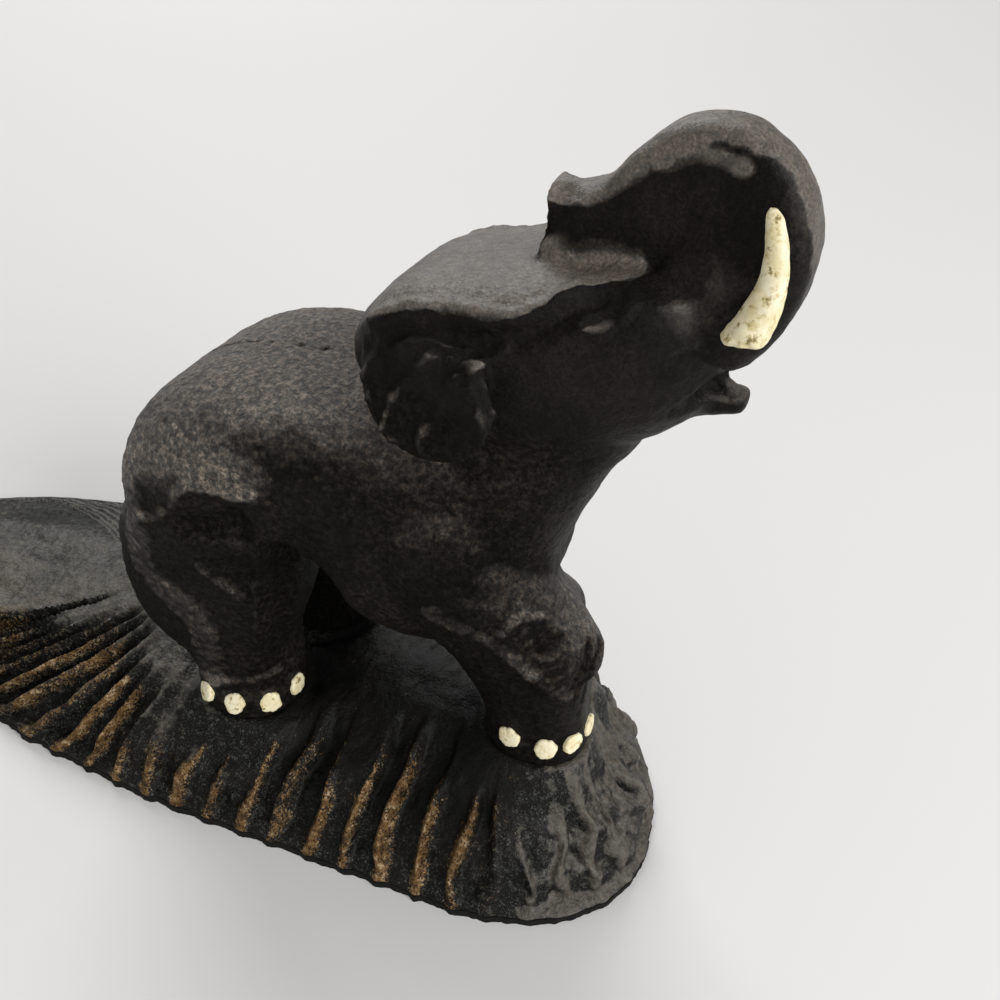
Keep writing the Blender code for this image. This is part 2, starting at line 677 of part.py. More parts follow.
def make_wedge():
    floor = wedge_floor()
    wedge = dome("wedge_base", WEDGE_FRONT_X, WEDGE_TAIL_X, WEDGE_HALF_WIDTH, crest_height,
                 RIDGE_COUNT * SIDES_PER_RIDGE, FLANK_RINGS, floor, RIDGE_LEAN, ridges)
    for foot in feet():
        land = foot[-1]
        boolean(wedge, foot_prism("land_boss", foot, LAND_MARGIN, floor + OVERCUT, land + OVERCUT), "UNION")
    for foot in feet():
        land = foot[-1]
        boolean(wedge, foot_prism("land_face", foot, LAND_MARGIN + LAND_CLEARANCE, land, REACH), "DIFFERENCE")
    inset = WEDGE_WALL + RIDGE_DEPTH
    cavity = dome("cavity", WEDGE_FRONT_X - inset, CAVITY_TAIL_X, WEDGE_HALF_WIDTH - inset,
                  lambda x: crest_height(x) - inset, RIDGE_COUNT, FLANK_RINGS // 2, floor - OVERCUT)
    for x, y, _, _, land in feet():
        seat = rod("seat", (x, y, land - FOOT_SCREW_GRIP), (x, y, land + OVERCUT), BOSS_RADIUS)
        boolean(cavity, seat, "DIFFERENCE")
    boolean(wedge, cavity, "DIFFERENCE")
    for x, y, _, _, land in feet():
        seat_z = land - FOOT_SCREW_GRIP
        pocket = rod("head_pocket", (x, y, floor - OVERCUT), (x, y, seat_z), SCREW_HEAD_RADIUS + 2 * GAP)
        boolean(wedge, pocket, "DIFFERENCE")
        hole = rod("screw_hole", (x, y, seat_z - OVERCUT), (x, y, land + OVERCUT),
                   SCREW_RADIUS + GAP, SHANK_HOLE_SIDES)
        boolean(wedge, hole, "DIFFERENCE")
    return wedge


def make_pad():
    """The non-slip sheet under the wedge, with its uneven cut edge."""
    plan = plan_outline(WEDGE_FRONT_X + PAD_MARGIN, WEDGE_TAIL_X - PAD_MARGIN,
                        WEDGE_HALF_WIDTH + PAD_MARGIN, PAD_SIDES)
    jag = PAD_JAG * (np.sin(RIDGE_VARIETY * np.arange(PAD_SIDES)) - 1.0)
    plan += plan / np.linalg.norm(plan, axis=1)[:, None] * jag[:, None]
    bm = bmesh.new()
    add_loft(bm, [np.column_stack([plan, np.full(PAD_SIDES, z)]) for z in (0.0, PAD_THICKNESS)])
    return object_from(bm, "underside_pad")


def nail_places(tree, side):
    """Where each nail sits on the foot's skin, found by looking in toward the foot from outside."""
    step, _, _ = front_leg_set(side)
    rows = (
        ("hind", HIND_FOOT_X, HIND_FOOT_Y, HIND_LAND_HEIGHT + HIND_NAIL_LIFT, HIND_NAIL_ANGLES),
        ("front", FRONT_FOOT_X - step, FRONT_FOOT_Y, FRONT_LAND_HEIGHT + FRONT_NAIL_LIFT, FRONT_NAIL_ANGLES),
    )
    for name, x, y, level, angles in rows:
        places = []
        for degrees in angles:
            angle = math.radians(degrees)
            outward = Vector((math.sin(angle), side * math.cos(angle), 0.0))
            start = Vector((x, side * y, level)) + outward * NAIL_LOOK_FROM
            hit, normal, _, _ = tree.ray_cast(start * MM, -outward)
            places.append((hit / MM, normal))
        yield name, places


def nail(name, hit, normal, grow=0.0):
    """A flat oval button, standing a little proud of the skin."""
    sink = NAIL_THICKNESS / 2 - NAIL_PROUD
    turn = normal.to_track_quat("Y", "Z").to_matrix().to_4x4()
    size = Vector((NAIL_WIDTH / 2 + grow, NAIL_THICKNESS / 2 + grow, NAIL_HEIGHT / 2 + grow))
    place = Matrix.Translation((hit - normal * sink) * MM) @ turn @ Matrix.Diagonal(size * MM).to_4x4()
    bm = bmesh.new()
    bmesh.ops.create_uvsphere(bm, u_segments=8, v_segments=4, radius=1.0, matrix=place)
    return object_from(bm, name)


def tusk(name, side, grow=0.0, count=12):
    """A bowed cone from its rounded root to a blunt tip."""
    root = np.array(mirrored(TUSK_BASE, side))
    run = np.array(mirrored(TUSK_TIP, side)) - root
    across, up = superellipse(count, 2.0)
    last = TUSK_SECTIONS[-1][0]
    rings = []
    for share, radius in TUSK_SECTIONS:
        x, y, z = root + run * share
        x += TUSK_BOW * math.sin(math.pi * share)
        z += grow * (share / last * 2.0 - 1.0)
        radius += grow
        rings.append(np.column_stack([x + radius * across, y + radius * TUSK_FLATNESS * up, np.full(count, z)]))
    bm = bmesh.new()
    add_loft(bm, rings)
    return object_from(bm, name)


def copy_of(item, name):
    copy = bpy.data.objects.new(name, item.data.copy())
    bpy.context.scene.collection.objects.link(copy)
    return copy


def split(half, side):
    """Keep one side of the seam, closed by a flat face."""
    bm = bmesh.new()
    bm.from_mesh(half.data)
    cut = bmesh.ops.bisect_plane(bm, geom=bm.verts[:] + bm.edges[:] + bm.faces[:],
                                 plane_co=(0.0, side * GAP / 2 * MM, 0.0),
                                 plane_no=(0.0, -side, 0.0), clear_outer=True)
    rim = [edge for edge in cut["geom_cut"] if isinstance(edge, bmesh.types.BMEdge)]
    bmesh.ops.holes_fill(bm, edges=rim)
    bmesh.ops.triangulate(bm, faces=[face for face in bm.faces if len(face.verts) > 4])
    bm.to_mesh(half.data)
    bm.free()


def make_halves():
    """The two castings and a tree of the form's skin, which the nails are set on."""
    form = elephant_form("elephant")
    bm = bmesh.new()
    bm.from_mesh(form.data)
    tree = BVHTree.FromBMesh(bm)
    bm.free()
    middle_x = (HIND_FOOT_X + FRONT_FOOT_X) / 2
    for name, low_x, high_x, land in (("under_hind", -REACH, middle_x, HIND_LAND_HEIGHT),
                                      ("under_front", middle_x, REACH, FRONT_LAND_HEIGHT)):
        boolean(form, box(name, (low_x, -REACH, -REACH), (high_x, REACH, land + GAP)), "DIFFERENCE")
    hollow = core("core")
    halves = []
    for name, side in (("elephant_right_half", RIGHT), ("elephant_left_half", LEFT)):
        half = copy_of(form, name)
        split(half, side)
        boolean(half, copy_of(hollow, "core_copy"), "DIFFERENCE")
        halves.append((half, side))
    bpy.data.objects.remove(hollow, do_unlink=True)
    bpy.data.objects.remove(form, do_unlink=True)
    return halves, tree


def drill(half, side):
    """Ways for the body screws, whose heads sit in the left half, and holes for the foot screws."""
    for x, z in BODY_SCREWS:
        shank = rod("shank_hole", (x, -BODY_SCREW_END_Y - 2 * GAP, z), (x, BODY_SCREW_SEAT_Y + OVERCUT, z),
                    SCREW_RADIUS + GAP, SHANK_HOLE_SIDES)
        boolean(half, shank, "DIFFERENCE")
        if side == LEFT:
            bore = rod("counterbore", (x, BODY_SCREW_SEAT_Y, z), (x, REACH, z), SCREW_HEAD_RADIUS + 2 * GAP)
            boolean(half, bore, "DIFFERENCE")
    for x, y, _, _, land in feet():
        if y * side > 0:
            hole = rod("tapped_hole", (x, y, land - OVERCUT), (x, y, land + FOOT_SCREW_THREAD + 2 * GAP),
                       SCREW_RADIUS + GAP, SHANK_HOLE_SIDES)
            boolean(half, hole, "DIFFERENCE")


def make_fittings(halves, tree):
    """Nails, tusks and screws, and the seats and holes that they need in the halves."""
    pieces = []
    for half, side in halves:
        word = "right" if side == RIGHT else "left"
        drill(half, side)
        for foot_name, places in nail_places(tree, side):
            for number, (hit, normal) in enumerate(places, 1):
                boolean(half, nail("nail_seat", hit, normal, GAP), "DIFFERENCE")
                pieces.append(nail(f"{foot_name}_{word}_toenail_{number}", hit, normal))
        boolean(half, tusk("tusk_seat", side, GAP), "DIFFERENCE")
        pieces.append(tusk(f"{word}_tusk", side))
    for place, (x, z) in zip(("rump", "chest"), BODY_SCREWS):
        pieces.append(screw(f"{place}_screw", (x, BODY_SCREW_SEAT_Y + GAP, z), (x, -BODY_SCREW_END_Y, z)))
    names = ("front_right", "hind_right", "front_left", "hind_left")
    for name, (x, y, _, _, land) in zip(names, feet()):
        pieces.append(screw(f"{name}_foot_screw", (x, y, land - FOOT_SCREW_GRIP - GAP),
                            (x, y, land + FOOT_SCREW_THREAD)))
    return pieces


def finish(name, colour, roughness, metallic):
    material = bpy.data.materials.new(name)
    material.use_nodes = True
    shader = material.node_tree.nodes["Principled BSDF"]
    shader.inputs["Base Color"].default_value = (*colour, 1.0)
    shader.inputs["Roughness"].default_value = roughness
    shader.inputs["Metallic"].default_value = metallic
    return material


FINISHES = {
    "elephant": ("brown_black_paint", (0.028, 0.024, 0.022), 0.45, 0.0),
    "wedge": ("bronzed_black_paint", (0.045, 0.036, 0.026), 0.5, 0.2),
    "ivory": ("ivory_paint", (0.75, 0.69, 0.55), 0.45, 0.0),
    "steel": ("bright_steel", (0.55, 0.55, 0.56), 0.35, 1.0),
    "pad": ("black_rubber", (0.012, 0.012, 0.012), 0.85, 0.0),
}


def finish_for(name):
    for word, key in (("elephant", "elephant"), ("tusk", "ivory"), ("toenail", "ivory"),
                      ("screw", "steel"), ("pad", "pad")):
        if word in name:
            return key
    return "wedge"


def build():
    clear_scene()
    halves, tree = make_halves()
    pieces = make_fittings(halves, tree)
    pieces += [half for half, _ in halves]
    pieces += [make_wedge(), make_pad()]
    materials = {key: finish(*values) for key, values in FINISHES.items()}
    corners = np.array([item.matrix_world @ Vector(corner) for item in pieces for corner in item.bound_box])
    middle = (corners.min(axis=0) + corners.max(axis=0)) / 2
    stand = bpy.data.objects.new("stand", None)
    stand.location = (-middle[0], 0.0, 0.0)
    bpy.context.scene.collection.objects.link(stand)
    for item in pieces:
        item.data.materials.clear()
        item.data.materials.append(materials[finish_for(item.name)])
        item.data.shade_smooth()
        item.data.set_sharp_from_angle(angle=math.radians(40.0))
        item.parent = stand


build()
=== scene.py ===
# %% [markdown]
# # An elephant doorstop in painted cast iron
#
# The real one is a small elephant standing on a wedge of rock. The elephant is cast in two cored
# halves that meet on its middle plane, and the rock is one hollow casting. This lesson dresses the
# plain parts of the frame: finer castings with their sand-cast grain and folds, a dry-brushed rock,
# painted ivory tusks and toenails, and the rubber sheet under it.

# %% Load the frame
import math

import bmesh
import bpy
import numpy as np
from mathutils import Matrix, Vector, noise
from mathutils.bvhtree import BVHTree


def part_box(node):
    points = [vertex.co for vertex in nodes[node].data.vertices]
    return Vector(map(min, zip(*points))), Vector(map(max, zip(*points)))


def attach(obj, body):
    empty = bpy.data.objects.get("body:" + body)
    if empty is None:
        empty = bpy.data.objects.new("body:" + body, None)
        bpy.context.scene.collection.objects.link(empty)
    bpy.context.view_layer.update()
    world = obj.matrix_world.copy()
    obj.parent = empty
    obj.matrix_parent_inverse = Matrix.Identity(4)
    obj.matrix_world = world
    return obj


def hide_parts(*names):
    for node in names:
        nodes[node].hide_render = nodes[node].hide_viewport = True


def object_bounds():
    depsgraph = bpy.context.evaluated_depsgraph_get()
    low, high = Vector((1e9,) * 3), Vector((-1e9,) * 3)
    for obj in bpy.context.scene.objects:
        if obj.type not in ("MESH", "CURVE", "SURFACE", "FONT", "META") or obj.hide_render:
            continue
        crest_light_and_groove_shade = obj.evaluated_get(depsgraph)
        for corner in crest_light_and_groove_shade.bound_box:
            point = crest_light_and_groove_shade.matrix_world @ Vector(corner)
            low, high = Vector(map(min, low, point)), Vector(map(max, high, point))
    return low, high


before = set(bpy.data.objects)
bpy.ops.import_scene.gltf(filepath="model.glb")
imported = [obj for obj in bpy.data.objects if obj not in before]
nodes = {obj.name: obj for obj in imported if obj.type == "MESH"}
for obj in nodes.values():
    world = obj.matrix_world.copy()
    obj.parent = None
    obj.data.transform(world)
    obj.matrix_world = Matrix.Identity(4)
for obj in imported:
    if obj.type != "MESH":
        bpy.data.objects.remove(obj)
cad_box = [list(corner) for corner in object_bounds()]
MM = 0.001
print("parts in the frame:", len(nodes))

# %% [markdown]
# ## Where things are
#
# Every size below is in millimetres. X runs from the wedge's thin tail to the elephant's head, Z is
# up, and the seam is the plane y = 0. The frame is centred on its own box, so one foot screw tells
# how far the parts' own drawing is shifted along X.

# %% Find the shift
GAP = 0.3
RIGHT = -1.0
LEFT = 1.0
SIDES = (("right", RIGHT), ("left", LEFT))
REACH = 160.0                  # past the part on any side
HIND_LAND_HEIGHT = 21.0
FRONT_LAND_HEIGHT = 31.5
HIND_FOOT_X = 13.5
HIND_FOOT_Y = 16.6
HIND_FOOT_RADIUS = 12.6
FRONT_FOOT_X = 84.0
FRONT_FOOT_Y = 6.2
FRONT_FOOT_LENGTH_RADIUS = 12.0
FRONT_FOOT_WIDTH_RADIUS = 11.0
FRONT_LEFT_STEP = 4.0
FRONT_LEFT_LEAN = 16.0
FRONT_LEFT_DROP = 5.0
FOOT_FULLNESS = 2.2

screw_low, screw_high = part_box("front_right_foot_screw")
SHIFT = np.array([(screw_low[0] + screw_high[0]) / 2 / MM - FRONT_FOOT_X, 0.0, 0.0])
print("the drawing is shifted along X by", round(float(SHIFT[0]), 3), "mm")


def to_frame(points):
    """Drawing millimetres to metres in the frame."""
    return (np.asarray(points, float) + SHIFT) * MM


def front_step(side):
    """How far back a front foot stands: only the left one does."""
    return FRONT_LEFT_STEP if side == LEFT else 0.0


def add_object(name, data):
    item = bpy.data.objects.new(name, data)
    bpy.context.scene.collection.objects.link(item)
    return item


# %% [markdown]
# ## Camera
#
# The photograph looks down on the doorstop's right side from in front of its middle, close by, with
# the camera tipped a little. A camera is a place and three directions: right, up and back.

# %% Place the camera
VIEW_AZIMUTH = math.radians(22.0)
VIEW_PITCH = math.radians(38.0)
VIEW_ROLL = math.radians(4.5)
PICTURE = 1000.0               # pixels across
VIEW_FOCAL = 1050.0            # in the same pixels
SEEN_POINT = (91.0, -37.0, 0.0)
SEEN_AT = (500.0, 927.0)
SEEN_DEPTH = 234.0

view_back = Vector((math.sin(VIEW_AZIMUTH) * math.cos(VIEW_PITCH),
                    -math.cos(VIEW_AZIMUTH) * math.cos(VIEW_PITCH), math.sin(VIEW_PITCH)))
level_right = Vector((math.cos(VIEW_AZIMUTH), math.sin(VIEW_AZIMUTH), 0.0))
level_up = view_back.cross(level_right)
view_right = level_right * math.cos(VIEW_ROLL) + level_up * math.sin(VIEW_ROLL)
view_up = level_up * math.cos(VIEW_ROLL) - level_right * math.sin(VIEW_ROLL)
middle = PICTURE / 2
aim = (view_right * (SEEN_AT[0] - middle) - view_up * (SEEN_AT[1] - middle)) / VIEW_FOCAL - view_back
camera_data = bpy.data.cameras.new("view")
camera_data.lens = VIEW_FOCAL / PICTURE * camera_data.sensor_width
camera_data.clip_start = 0.01
camera = add_object("view", camera_data)
turn = Matrix((view_right, view_up, view_back)).transposed().to_4x4()
camera.matrix_world = Matrix.Translation(Vector(to_frame(SEEN_POINT)) - aim * SEEN_DEPTH * MM) @ turn
bpy.context.scene.camera = camera
print("camera at", [round(v, 4) for v in camera.matrix_world.translation])

# %% [markdown]
# ## Floor and light
#
# A pale floor in a bright room. A window high behind the tail gives the tops of the forms their broad
# grey sheen, and a softer light from the right reaches the chest and the rock's nose. Lamps and world
# together light a white card on the floor to about white, so the finishes keep their written colours.

# %% Make the studio
FLOOR_RADIUS = 5.0
FLOOR_TONE = (0.74, 0.735, 0.725)
ROOM_TONE = (1.0, 0.99, 0.975, 1.0)
ROOM_STRENGTH = 0.42
LAMP_TARGET = (0.0, 0.0, 0.08)
LAMPS = (
    ("window", (-1.35, 1.7, 1.9), 1.9, 44.0),
    ("right_side", (1.15, -0.45, 0.75), 0.8, 14.0),
)


def new_material(name):
    """A material, its node tree and its shader."""
    material = bpy.data.materials.new(name)
    material.use_nodes = True
    return material, material.node_tree, material.node_tree.nodes["Principled BSDF"]


floor_material, _, shader = new_material("floor_paper")
shader.inputs["Base Color"].default_value = (*FLOOR_TONE, 1.0)
shader.inputs["Roughness"].default_value = 0.7
floor_mesh = bpy.data.meshes.new("floor")
circle = [(FLOOR_RADIUS * math.cos(a), FLOOR_RADIUS * math.sin(a), 0.0)
          for a in np.linspace(0.0, 2 * math.pi, 64, endpoint=False)]
floor_mesh.from_pydata(circle, [], [list(range(len(circle)))])
floor_mesh.materials.append(floor_material)
floor = add_object("floor", floor_mesh)

studio = bpy.data.worlds.new("studio")
bpy.context.scene.world = studio
studio.use_nodes = True
studio.node_tree.nodes["Background"].inputs["Color"].default_value = ROOM_TONE
studio.node_tree.nodes["Background"].inputs["Strength"].default_value = ROOM_STRENGTH
for name, place, size, power in LAMPS:
    lamp = bpy.data.lights.new(name, "AREA")
    lamp.shape = "DISK"
    lamp.size = size
    lamp.energy = power
    item = add_object(name, lamp)
    item.location = place
    item.rotation_mode = "QUATERNION"
    item.rotation_quaternion = (Vector(place) - Vector(LAMP_TARGET)).to_track_quat("Z", "Y")
bpy.context.scene.view_settings.view_transform = "Standard"
print("lamps:", ", ".join(row[0] for row in LAMPS))

# %% [markdown]
# ## Helpers for curves and skins
#
# Most forms here start as a smooth curve through a few measured rows, or as rings of points joined
# into a closed skin.


# %% Curves and skins
SEED_STEP = 17.3               # how far apart two seeds lie in the noise


def catmull(rows, per_span):
    """Points of a smooth curve through rows of numbers."""
    rows = np.asarray(rows, float)
    padded = np.vstack([2 * rows[0] - rows[1], rows, 2 * rows[-1] - rows[-2]])
    t = np.linspace(0.0, 1.0, per_span, endpoint=False)[:, None]
    spans = []
    for i in range(len(rows) - 1):
        a, b, c, d = padded[i:i + 4]
        spans.append(0.5 * (2 * b + (c - a) * t + (2 * a - 5 * b + 4 * c - d) * t ** 2
                            + (3 * b - a - 3 * c + d) * t ** 3))
    return np.vstack([*spans, rows[-1:]])


def ease(value):
    """0 to 1 with soft ends."""
    value = np.clip(value, 0.0, 1.0)
    return value * value * (3.0 - 2.0 * value)


def rising(value, start, length):
    """0 up to start, then 1 within length, with soft ends."""
    return ease((value - start) / length)


def superellipse(count, fullness, low_fullness=None):
    """Unit outline: a circle at fullness 2, squarer above it; the lower half can have its own."""
    angles = np.linspace(0.0, 2 * math.pi, count, endpoint=False)
    across, up = np.cos(angles), np.sin(angles)
    power = 2.0 / np.where(up < 0.0, low_fullness or fullness, fullness)
    return np.sign(across) * np.abs(across) ** power, np.sign(up) * np.abs(up) ** power


def level_ring(outline, z):
    """An outline's points at one height."""
    return np.column_stack([outline, np.full(len(outline), z)])


def ring_faces(rings, count, first_closed=True):
    """Faces between rings of count points each, one over the last ring and one over the first if asked."""
    faces = []
    for low in range(0, (rings - 1) * count, count):
        for i in range(count):
            j = (i + 1) % count
            faces.append((low + i, low + j, low + count + j, low + count + i))
    if first_closed:
        faces.append(tuple(range(count - 1, -1, -1)))
    faces.append(tuple(range((rings - 1) * count, rings * count)))
    return faces


def add_skin(bm, points, faces):
    """Faces over drawing points."""
    verts = [bm.verts.new(point) for point in to_frame(points).tolist()]
    for face in faces:
        bm.faces.new([verts[i] for i in face])


def add_rings(bm, rings):
    """A closed skin over rings of drawing points."""
    add_skin(bm, np.vstack(rings), ring_faces(len(rings), len(rings[0])))


def object_from_bmesh(name, bm):
    """A piece whose faces are turned outward."""
    bmesh.ops.recalc_face_normals(bm, faces=bm.faces)
    mesh = bpy.data.meshes.new(name)
    bm.to_mesh(mesh)
    bm.free()
    return add_object(name, mesh)


def loft(name, rings):
    bm = bmesh.new()
    add_rings(bm, rings)
    return object_from_bmesh(name, bm)


def bake(item):
    """Keep what the modifiers make, and drop the modifiers."""
    graph = bpy.context.evaluated_depsgraph_get()
    mesh = bpy.data.meshes.new_from_object(item.evaluated_get(graph))
    item.modifiers.clear()
    item.data = mesh


def mesh_points(mesh):
    """Vertex places in drawing millimetres, and their normals."""
    points = np.empty(len(mesh.vertices) * 3)
    mesh.vertices.foreach_get("co", points)
    normals = np.array([corner.vector for corner in mesh.vertex_normals])
    return points.reshape(-1, 3) / MM - SHIFT, normals


def set_points(mesh, points):
    mesh.vertices.foreach_set("co", to_frame(points).ravel())
    mesh.update()


def store(mesh, name, values):
    """One number for each vertex, which a material can read."""
    mesh.attributes.new(name, "FLOAT", "POINT").data.foreach_set("value", values)


def grain(points, size, seed, octaves=3):
    """Smooth random numbers of about -1 to 1, one for each point, with features of a given size."""
    places = points / size + seed * SEED_STEP
    return np.array([noise.fractal(Vector(place), 1.0, 2.0, octaves) for place in places])


def smooth_shading(item, degrees=60.0):
    item.data.shade_smooth()
    item.data.set_sharp_from_angle(angle=math.radians(degrees))


def cut(item, cutters):
    """Take the cutters' volume out of a piece."""
    for cutter in cutters:
        modifier = item.modifiers.new("cut", "BOOLEAN")
        modifier.operation = "DIFFERENCE"
        modifier.solver = "EXACT"
        modifier.object = cutter
        bake(item)
        bpy.data.objects.remove(cutter, do_unlink=True)


def rod(name, start, end, radius, count=24):
    """A cylinder between two points, in drawing millimetres."""
    bm = bmesh.new()
    start = Vector(to_frame(start))
    run = Vector(to_frame(end)) - start
    spin = run.to_track_quat("Z", "Y").to_matrix().to_4x4()
    bmesh.ops.create_cone(bm, cap_ends=True, segments=count, radius1=radius * MM, radius2=radius * MM,
                          depth=run.length, matrix=Matrix.Translation(start + run / 2) @ spin)
    return object_from_bmesh(name, bm)


def block(name, low, high):
    """A box between two corners, in drawing millimetres."""
    bm = bmesh.new()
    low = Vector(to_frame(low))
    size = Vector(to_frame(high)) - low
    scale = Matrix.Diagonal(size).to_4x4()
    bmesh.ops.create_cube(bm, size=1.0, matrix=Matrix.Translation(low + size / 2) @ scale)
    return object_from_bmesh(name, bm)


# %% [markdown]
# ## Finishes
#
# Each finish is a small tree of noise nodes on Object coordinates, so nothing slides when the piece
# or the camera moves. The helpers below add and join nodes in one line each.


# %% Node helpers
def give(tree, socket, value):
    """Link a socket to another node's output, or set it to a number or a colour."""
    if isinstance(value, bpy.types.NodeSocket):
        tree.links.new(value, socket)
    else:
        socket.default_value = (*value, 1.0) if isinstance(value, tuple) else value


def put(tree, kind, sockets, **settings):
    """A new node, with its settings and what some of its sockets are given."""
    node = tree.nodes.new(kind)
    for key, value in settings.items():
        setattr(node, key, value)
    for key, value in sockets.items():
        give(tree, node.inputs[key], value)
    return node


class Tree:
    """A material whose nodes are added and linked in one line each."""

    def __init__(self, name):
        self.material, self.tree, self.shader = new_material(name)
        self.coordinates = self.node("ShaderNodeTexCoord", {}).outputs

    def feed(self, socket, value):
        """Give a value to one of the shader's sockets."""
        give(self.tree, self.shader.inputs[socket], value)

    def node(self, kind, sockets, **settings):
        return put(self.tree, kind, sockets, **settings)

    def noise(self, size_mm, detail=3.0, rough=0.5, stretch=None):
        """Noise whose features are about size_mm across."""
        place = self.coordinates["Object"]
        if stretch:
            mapping = self.node("ShaderNodeMapping", {"Vector": place})
            mapping.inputs["Scale"].default_value = stretch
            place = mapping.outputs["Vector"]
        return self.node("ShaderNodeTexNoise", {"Vector": place, "Scale": 1.0 / (size_mm * MM),
                                                "Detail": detail, "Roughness": rough}).outputs["Fac"]

    def pits(self, size_mm):
        """Distance to the nearest of scattered points, about size_mm apart."""
        sockets = {"Vector": self.coordinates["Object"], "Scale": 1.0 / (size_mm * MM)}
        return self.node("ShaderNodeTexVoronoi", sockets).outputs["Distance"]

    def ramp(self, source, *stops):
        """A colour or a number against a factor: stops of position and value."""
        node = self.node("ShaderNodeValToRGB", {"Fac": source})
        elements = node.color_ramp.elements
        while len(elements) < len(stops):
            elements.new(0.5)
        for element, (position, value) in zip(elements, stops):
            element.position = position
            colour = value if isinstance(value, tuple) else (value,) * 3
            element.color = (*colour, 1.0)
        return node.outputs["Color"]

    def math(self, operation, first, second):
        return self.node("ShaderNodeMath", {0: first, 1: second}, operation=operation).outputs["Value"]

    def mix(self, factor, first, second, blend="MIX"):
        sockets = {0: factor, 6: first, 7: second}
        return self.node("ShaderNodeMix", sockets, data_type="RGBA", blend_type=blend).outputs[2]

    def facing_up(self):
        """How far the surface faces up: 1 on top, 0 on a wall, -1 underneath."""
        return self.node("ShaderNodeSeparateXYZ", {0: self.coordinates["Normal"]}).outputs["Z"]

    def spread(self, source, speckle, amount):
        """A factor whose edges are broken up by noise."""
        return self.math("ADD", source, self.math("MULTIPLY", self.math("SUBTRACT", speckle, 0.5), amount))

    def attribute(self, name):
        return self.node("ShaderNodeAttribute", {}, attribute_name=name).outputs["Fac"]

    def bump(self, *layers):
        """Bumps on one another: each layer is a height, its depth in millimetres and its strength."""
        under = {}
        for height, depth_mm, strength in layers:
            sockets = {"Height": height, "Distance": depth_mm * MM, "Strength": strength, **under}
            under = {"Normal": self.node("ShaderNodeBump", sockets).outputs["Normal"]}
        self.feed("Normal", under["Normal"])


# %% [markdown]
# ### The elephant's paint
#
# Brown-black satin paint over sand-cast iron. What faces up is painted a warm grey, for dust and for the
# light that falls on the tops, in a streaky patch with a broken edge, while the sides stay nearly black. An
# attribute on the mesh adds painted highlights on the rims of the folds and painted shade in the hollows. The
# casting's grain shows through as pits of half a millimetre.

# %% Elephant paint
paint = Tree("elephant_paint")
broad = paint.noise(18.0, 4.0, 0.6)
mottle = paint.noise(2.2, 5.0, 0.65)
streak = paint.noise(2.0, 4.0, 0.6, stretch=(1.0, 1.0, 0.25))
fine = paint.noise(0.5, 3.0, 0.6)
pitting = paint.pits(0.9)
# painted light and shade: what faces up, with the mesh's painted highlights on fold rims and painted shade in
# hollows
up_with_painted_light = paint.math("ADD", paint.facing_up(), paint.math("MULTIPLY", paint.attribute("painted_light_and_shade"), 1.5))
facing_and_painted_light = paint.spread(paint.spread(up_with_painted_light, broad, 0.35), mottle, 0.5)
top_dust_and_light = paint.ramp(facing_and_painted_light, (0.22, 0.0), (0.60, 0.22), (0.98, 1.0))
side_tone = paint.ramp(broad, (0.35, (0.0036, 0.0033, 0.0028)), (0.65, (0.0105, 0.0086, 0.0074)))
# the warm grey of the tops stands for dust and for painted light from above
dusty_lit_top_tone = paint.ramp(streak, (0.35, (0.074, 0.063, 0.052)), (0.65, (0.128, 0.109, 0.090)))
speck = paint.ramp(fine, (0.36, 0.62), (0.64, (1.4, 1.38, 1.34)))
tone = paint.mix(1.0, paint.mix(top_dust_and_light, side_tone, dusty_lit_top_tone), speck, "MULTIPLY")
grit = paint.noise(1.2, 5.0, 0.7)
coarse = paint.attribute("coarse")
gritty = paint.ramp(grit, (0.40, 0.30), (0.50, (0.95, 0.94, 0.93)), (0.62, (2.3, 2.2, 2.1)))
paint.feed("Base Color", paint.mix(coarse, tone, paint.mix(1.0, tone, gritty, "MULTIPLY")))
paint.feed("Roughness", paint.ramp(mottle, (0.3, 0.40), (0.7, 0.54)))
paint.feed("Specular IOR Level", paint.ramp(top_dust_and_light, (0.0, 0.08), (0.6, 0.5)))
paint.bump((mottle, 0.5, 0.4), (paint.math("MULTIPLY", grit, coarse), 1.3, 1.0),
           (pitting, 0.2, 0.4), (fine, 0.16, 0.5))

# %% [markdown]
# ### The rock's paint
#
# Black like the elephant, then dry-brushed with bronze: the brush only touches the crests of the
# ridges, and the rough casting breaks the stroke into grains. A "rub" attribute on the mesh says how
# far a place stands out, and noise breaks its edge. Light-grey specks over the black are painted glints.
# What faces up and the nose are painted a dusty grey, for dust and for the light that falls on them.
# An attribute on the mesh adds painted light on the crests, painted shade in the grooves and under the
# belly, and makes the lower flank darker.

# %% Rock paint
rock = Tree("rock_paint")
rub = rock.attribute("rub")
marked_dust_light_and_shade = rock.attribute("dust_light_and_shade")
broad = rock.noise(14.0, 4.0, 0.6)
mottle = rock.noise(1.6, 5.0, 0.7)
fine = rock.noise(0.45, 3.0, 0.6)
glint = rock.noise(0.38, 2.0, 0.7)
pitting = rock.pits(0.8)
# what faces up, plus the mesh's dust, painted light and painted shade
facing_and_painted_light = rock.spread(rock.spread(rock.math("ADD", rock.facing_up(), marked_dust_light_and_shade), broad, 0.6), mottle, 0.7)
dust_light_and_shade = rock.ramp(rock.math("SUBTRACT", facing_and_painted_light, 0.3), (0.42, 0.0), (0.9, 1.0))
dark = rock.ramp(broad, (0.35, (0.003, 0.003, 0.0027)), (0.7, (0.009, 0.008, 0.007)))
# the dusty grey of the tops stands for dust and for painted light from above
dusty_lit_tone = rock.ramp(mottle, (0.35, (0.032, 0.027, 0.019)), (0.65, (0.100, 0.087, 0.064)))
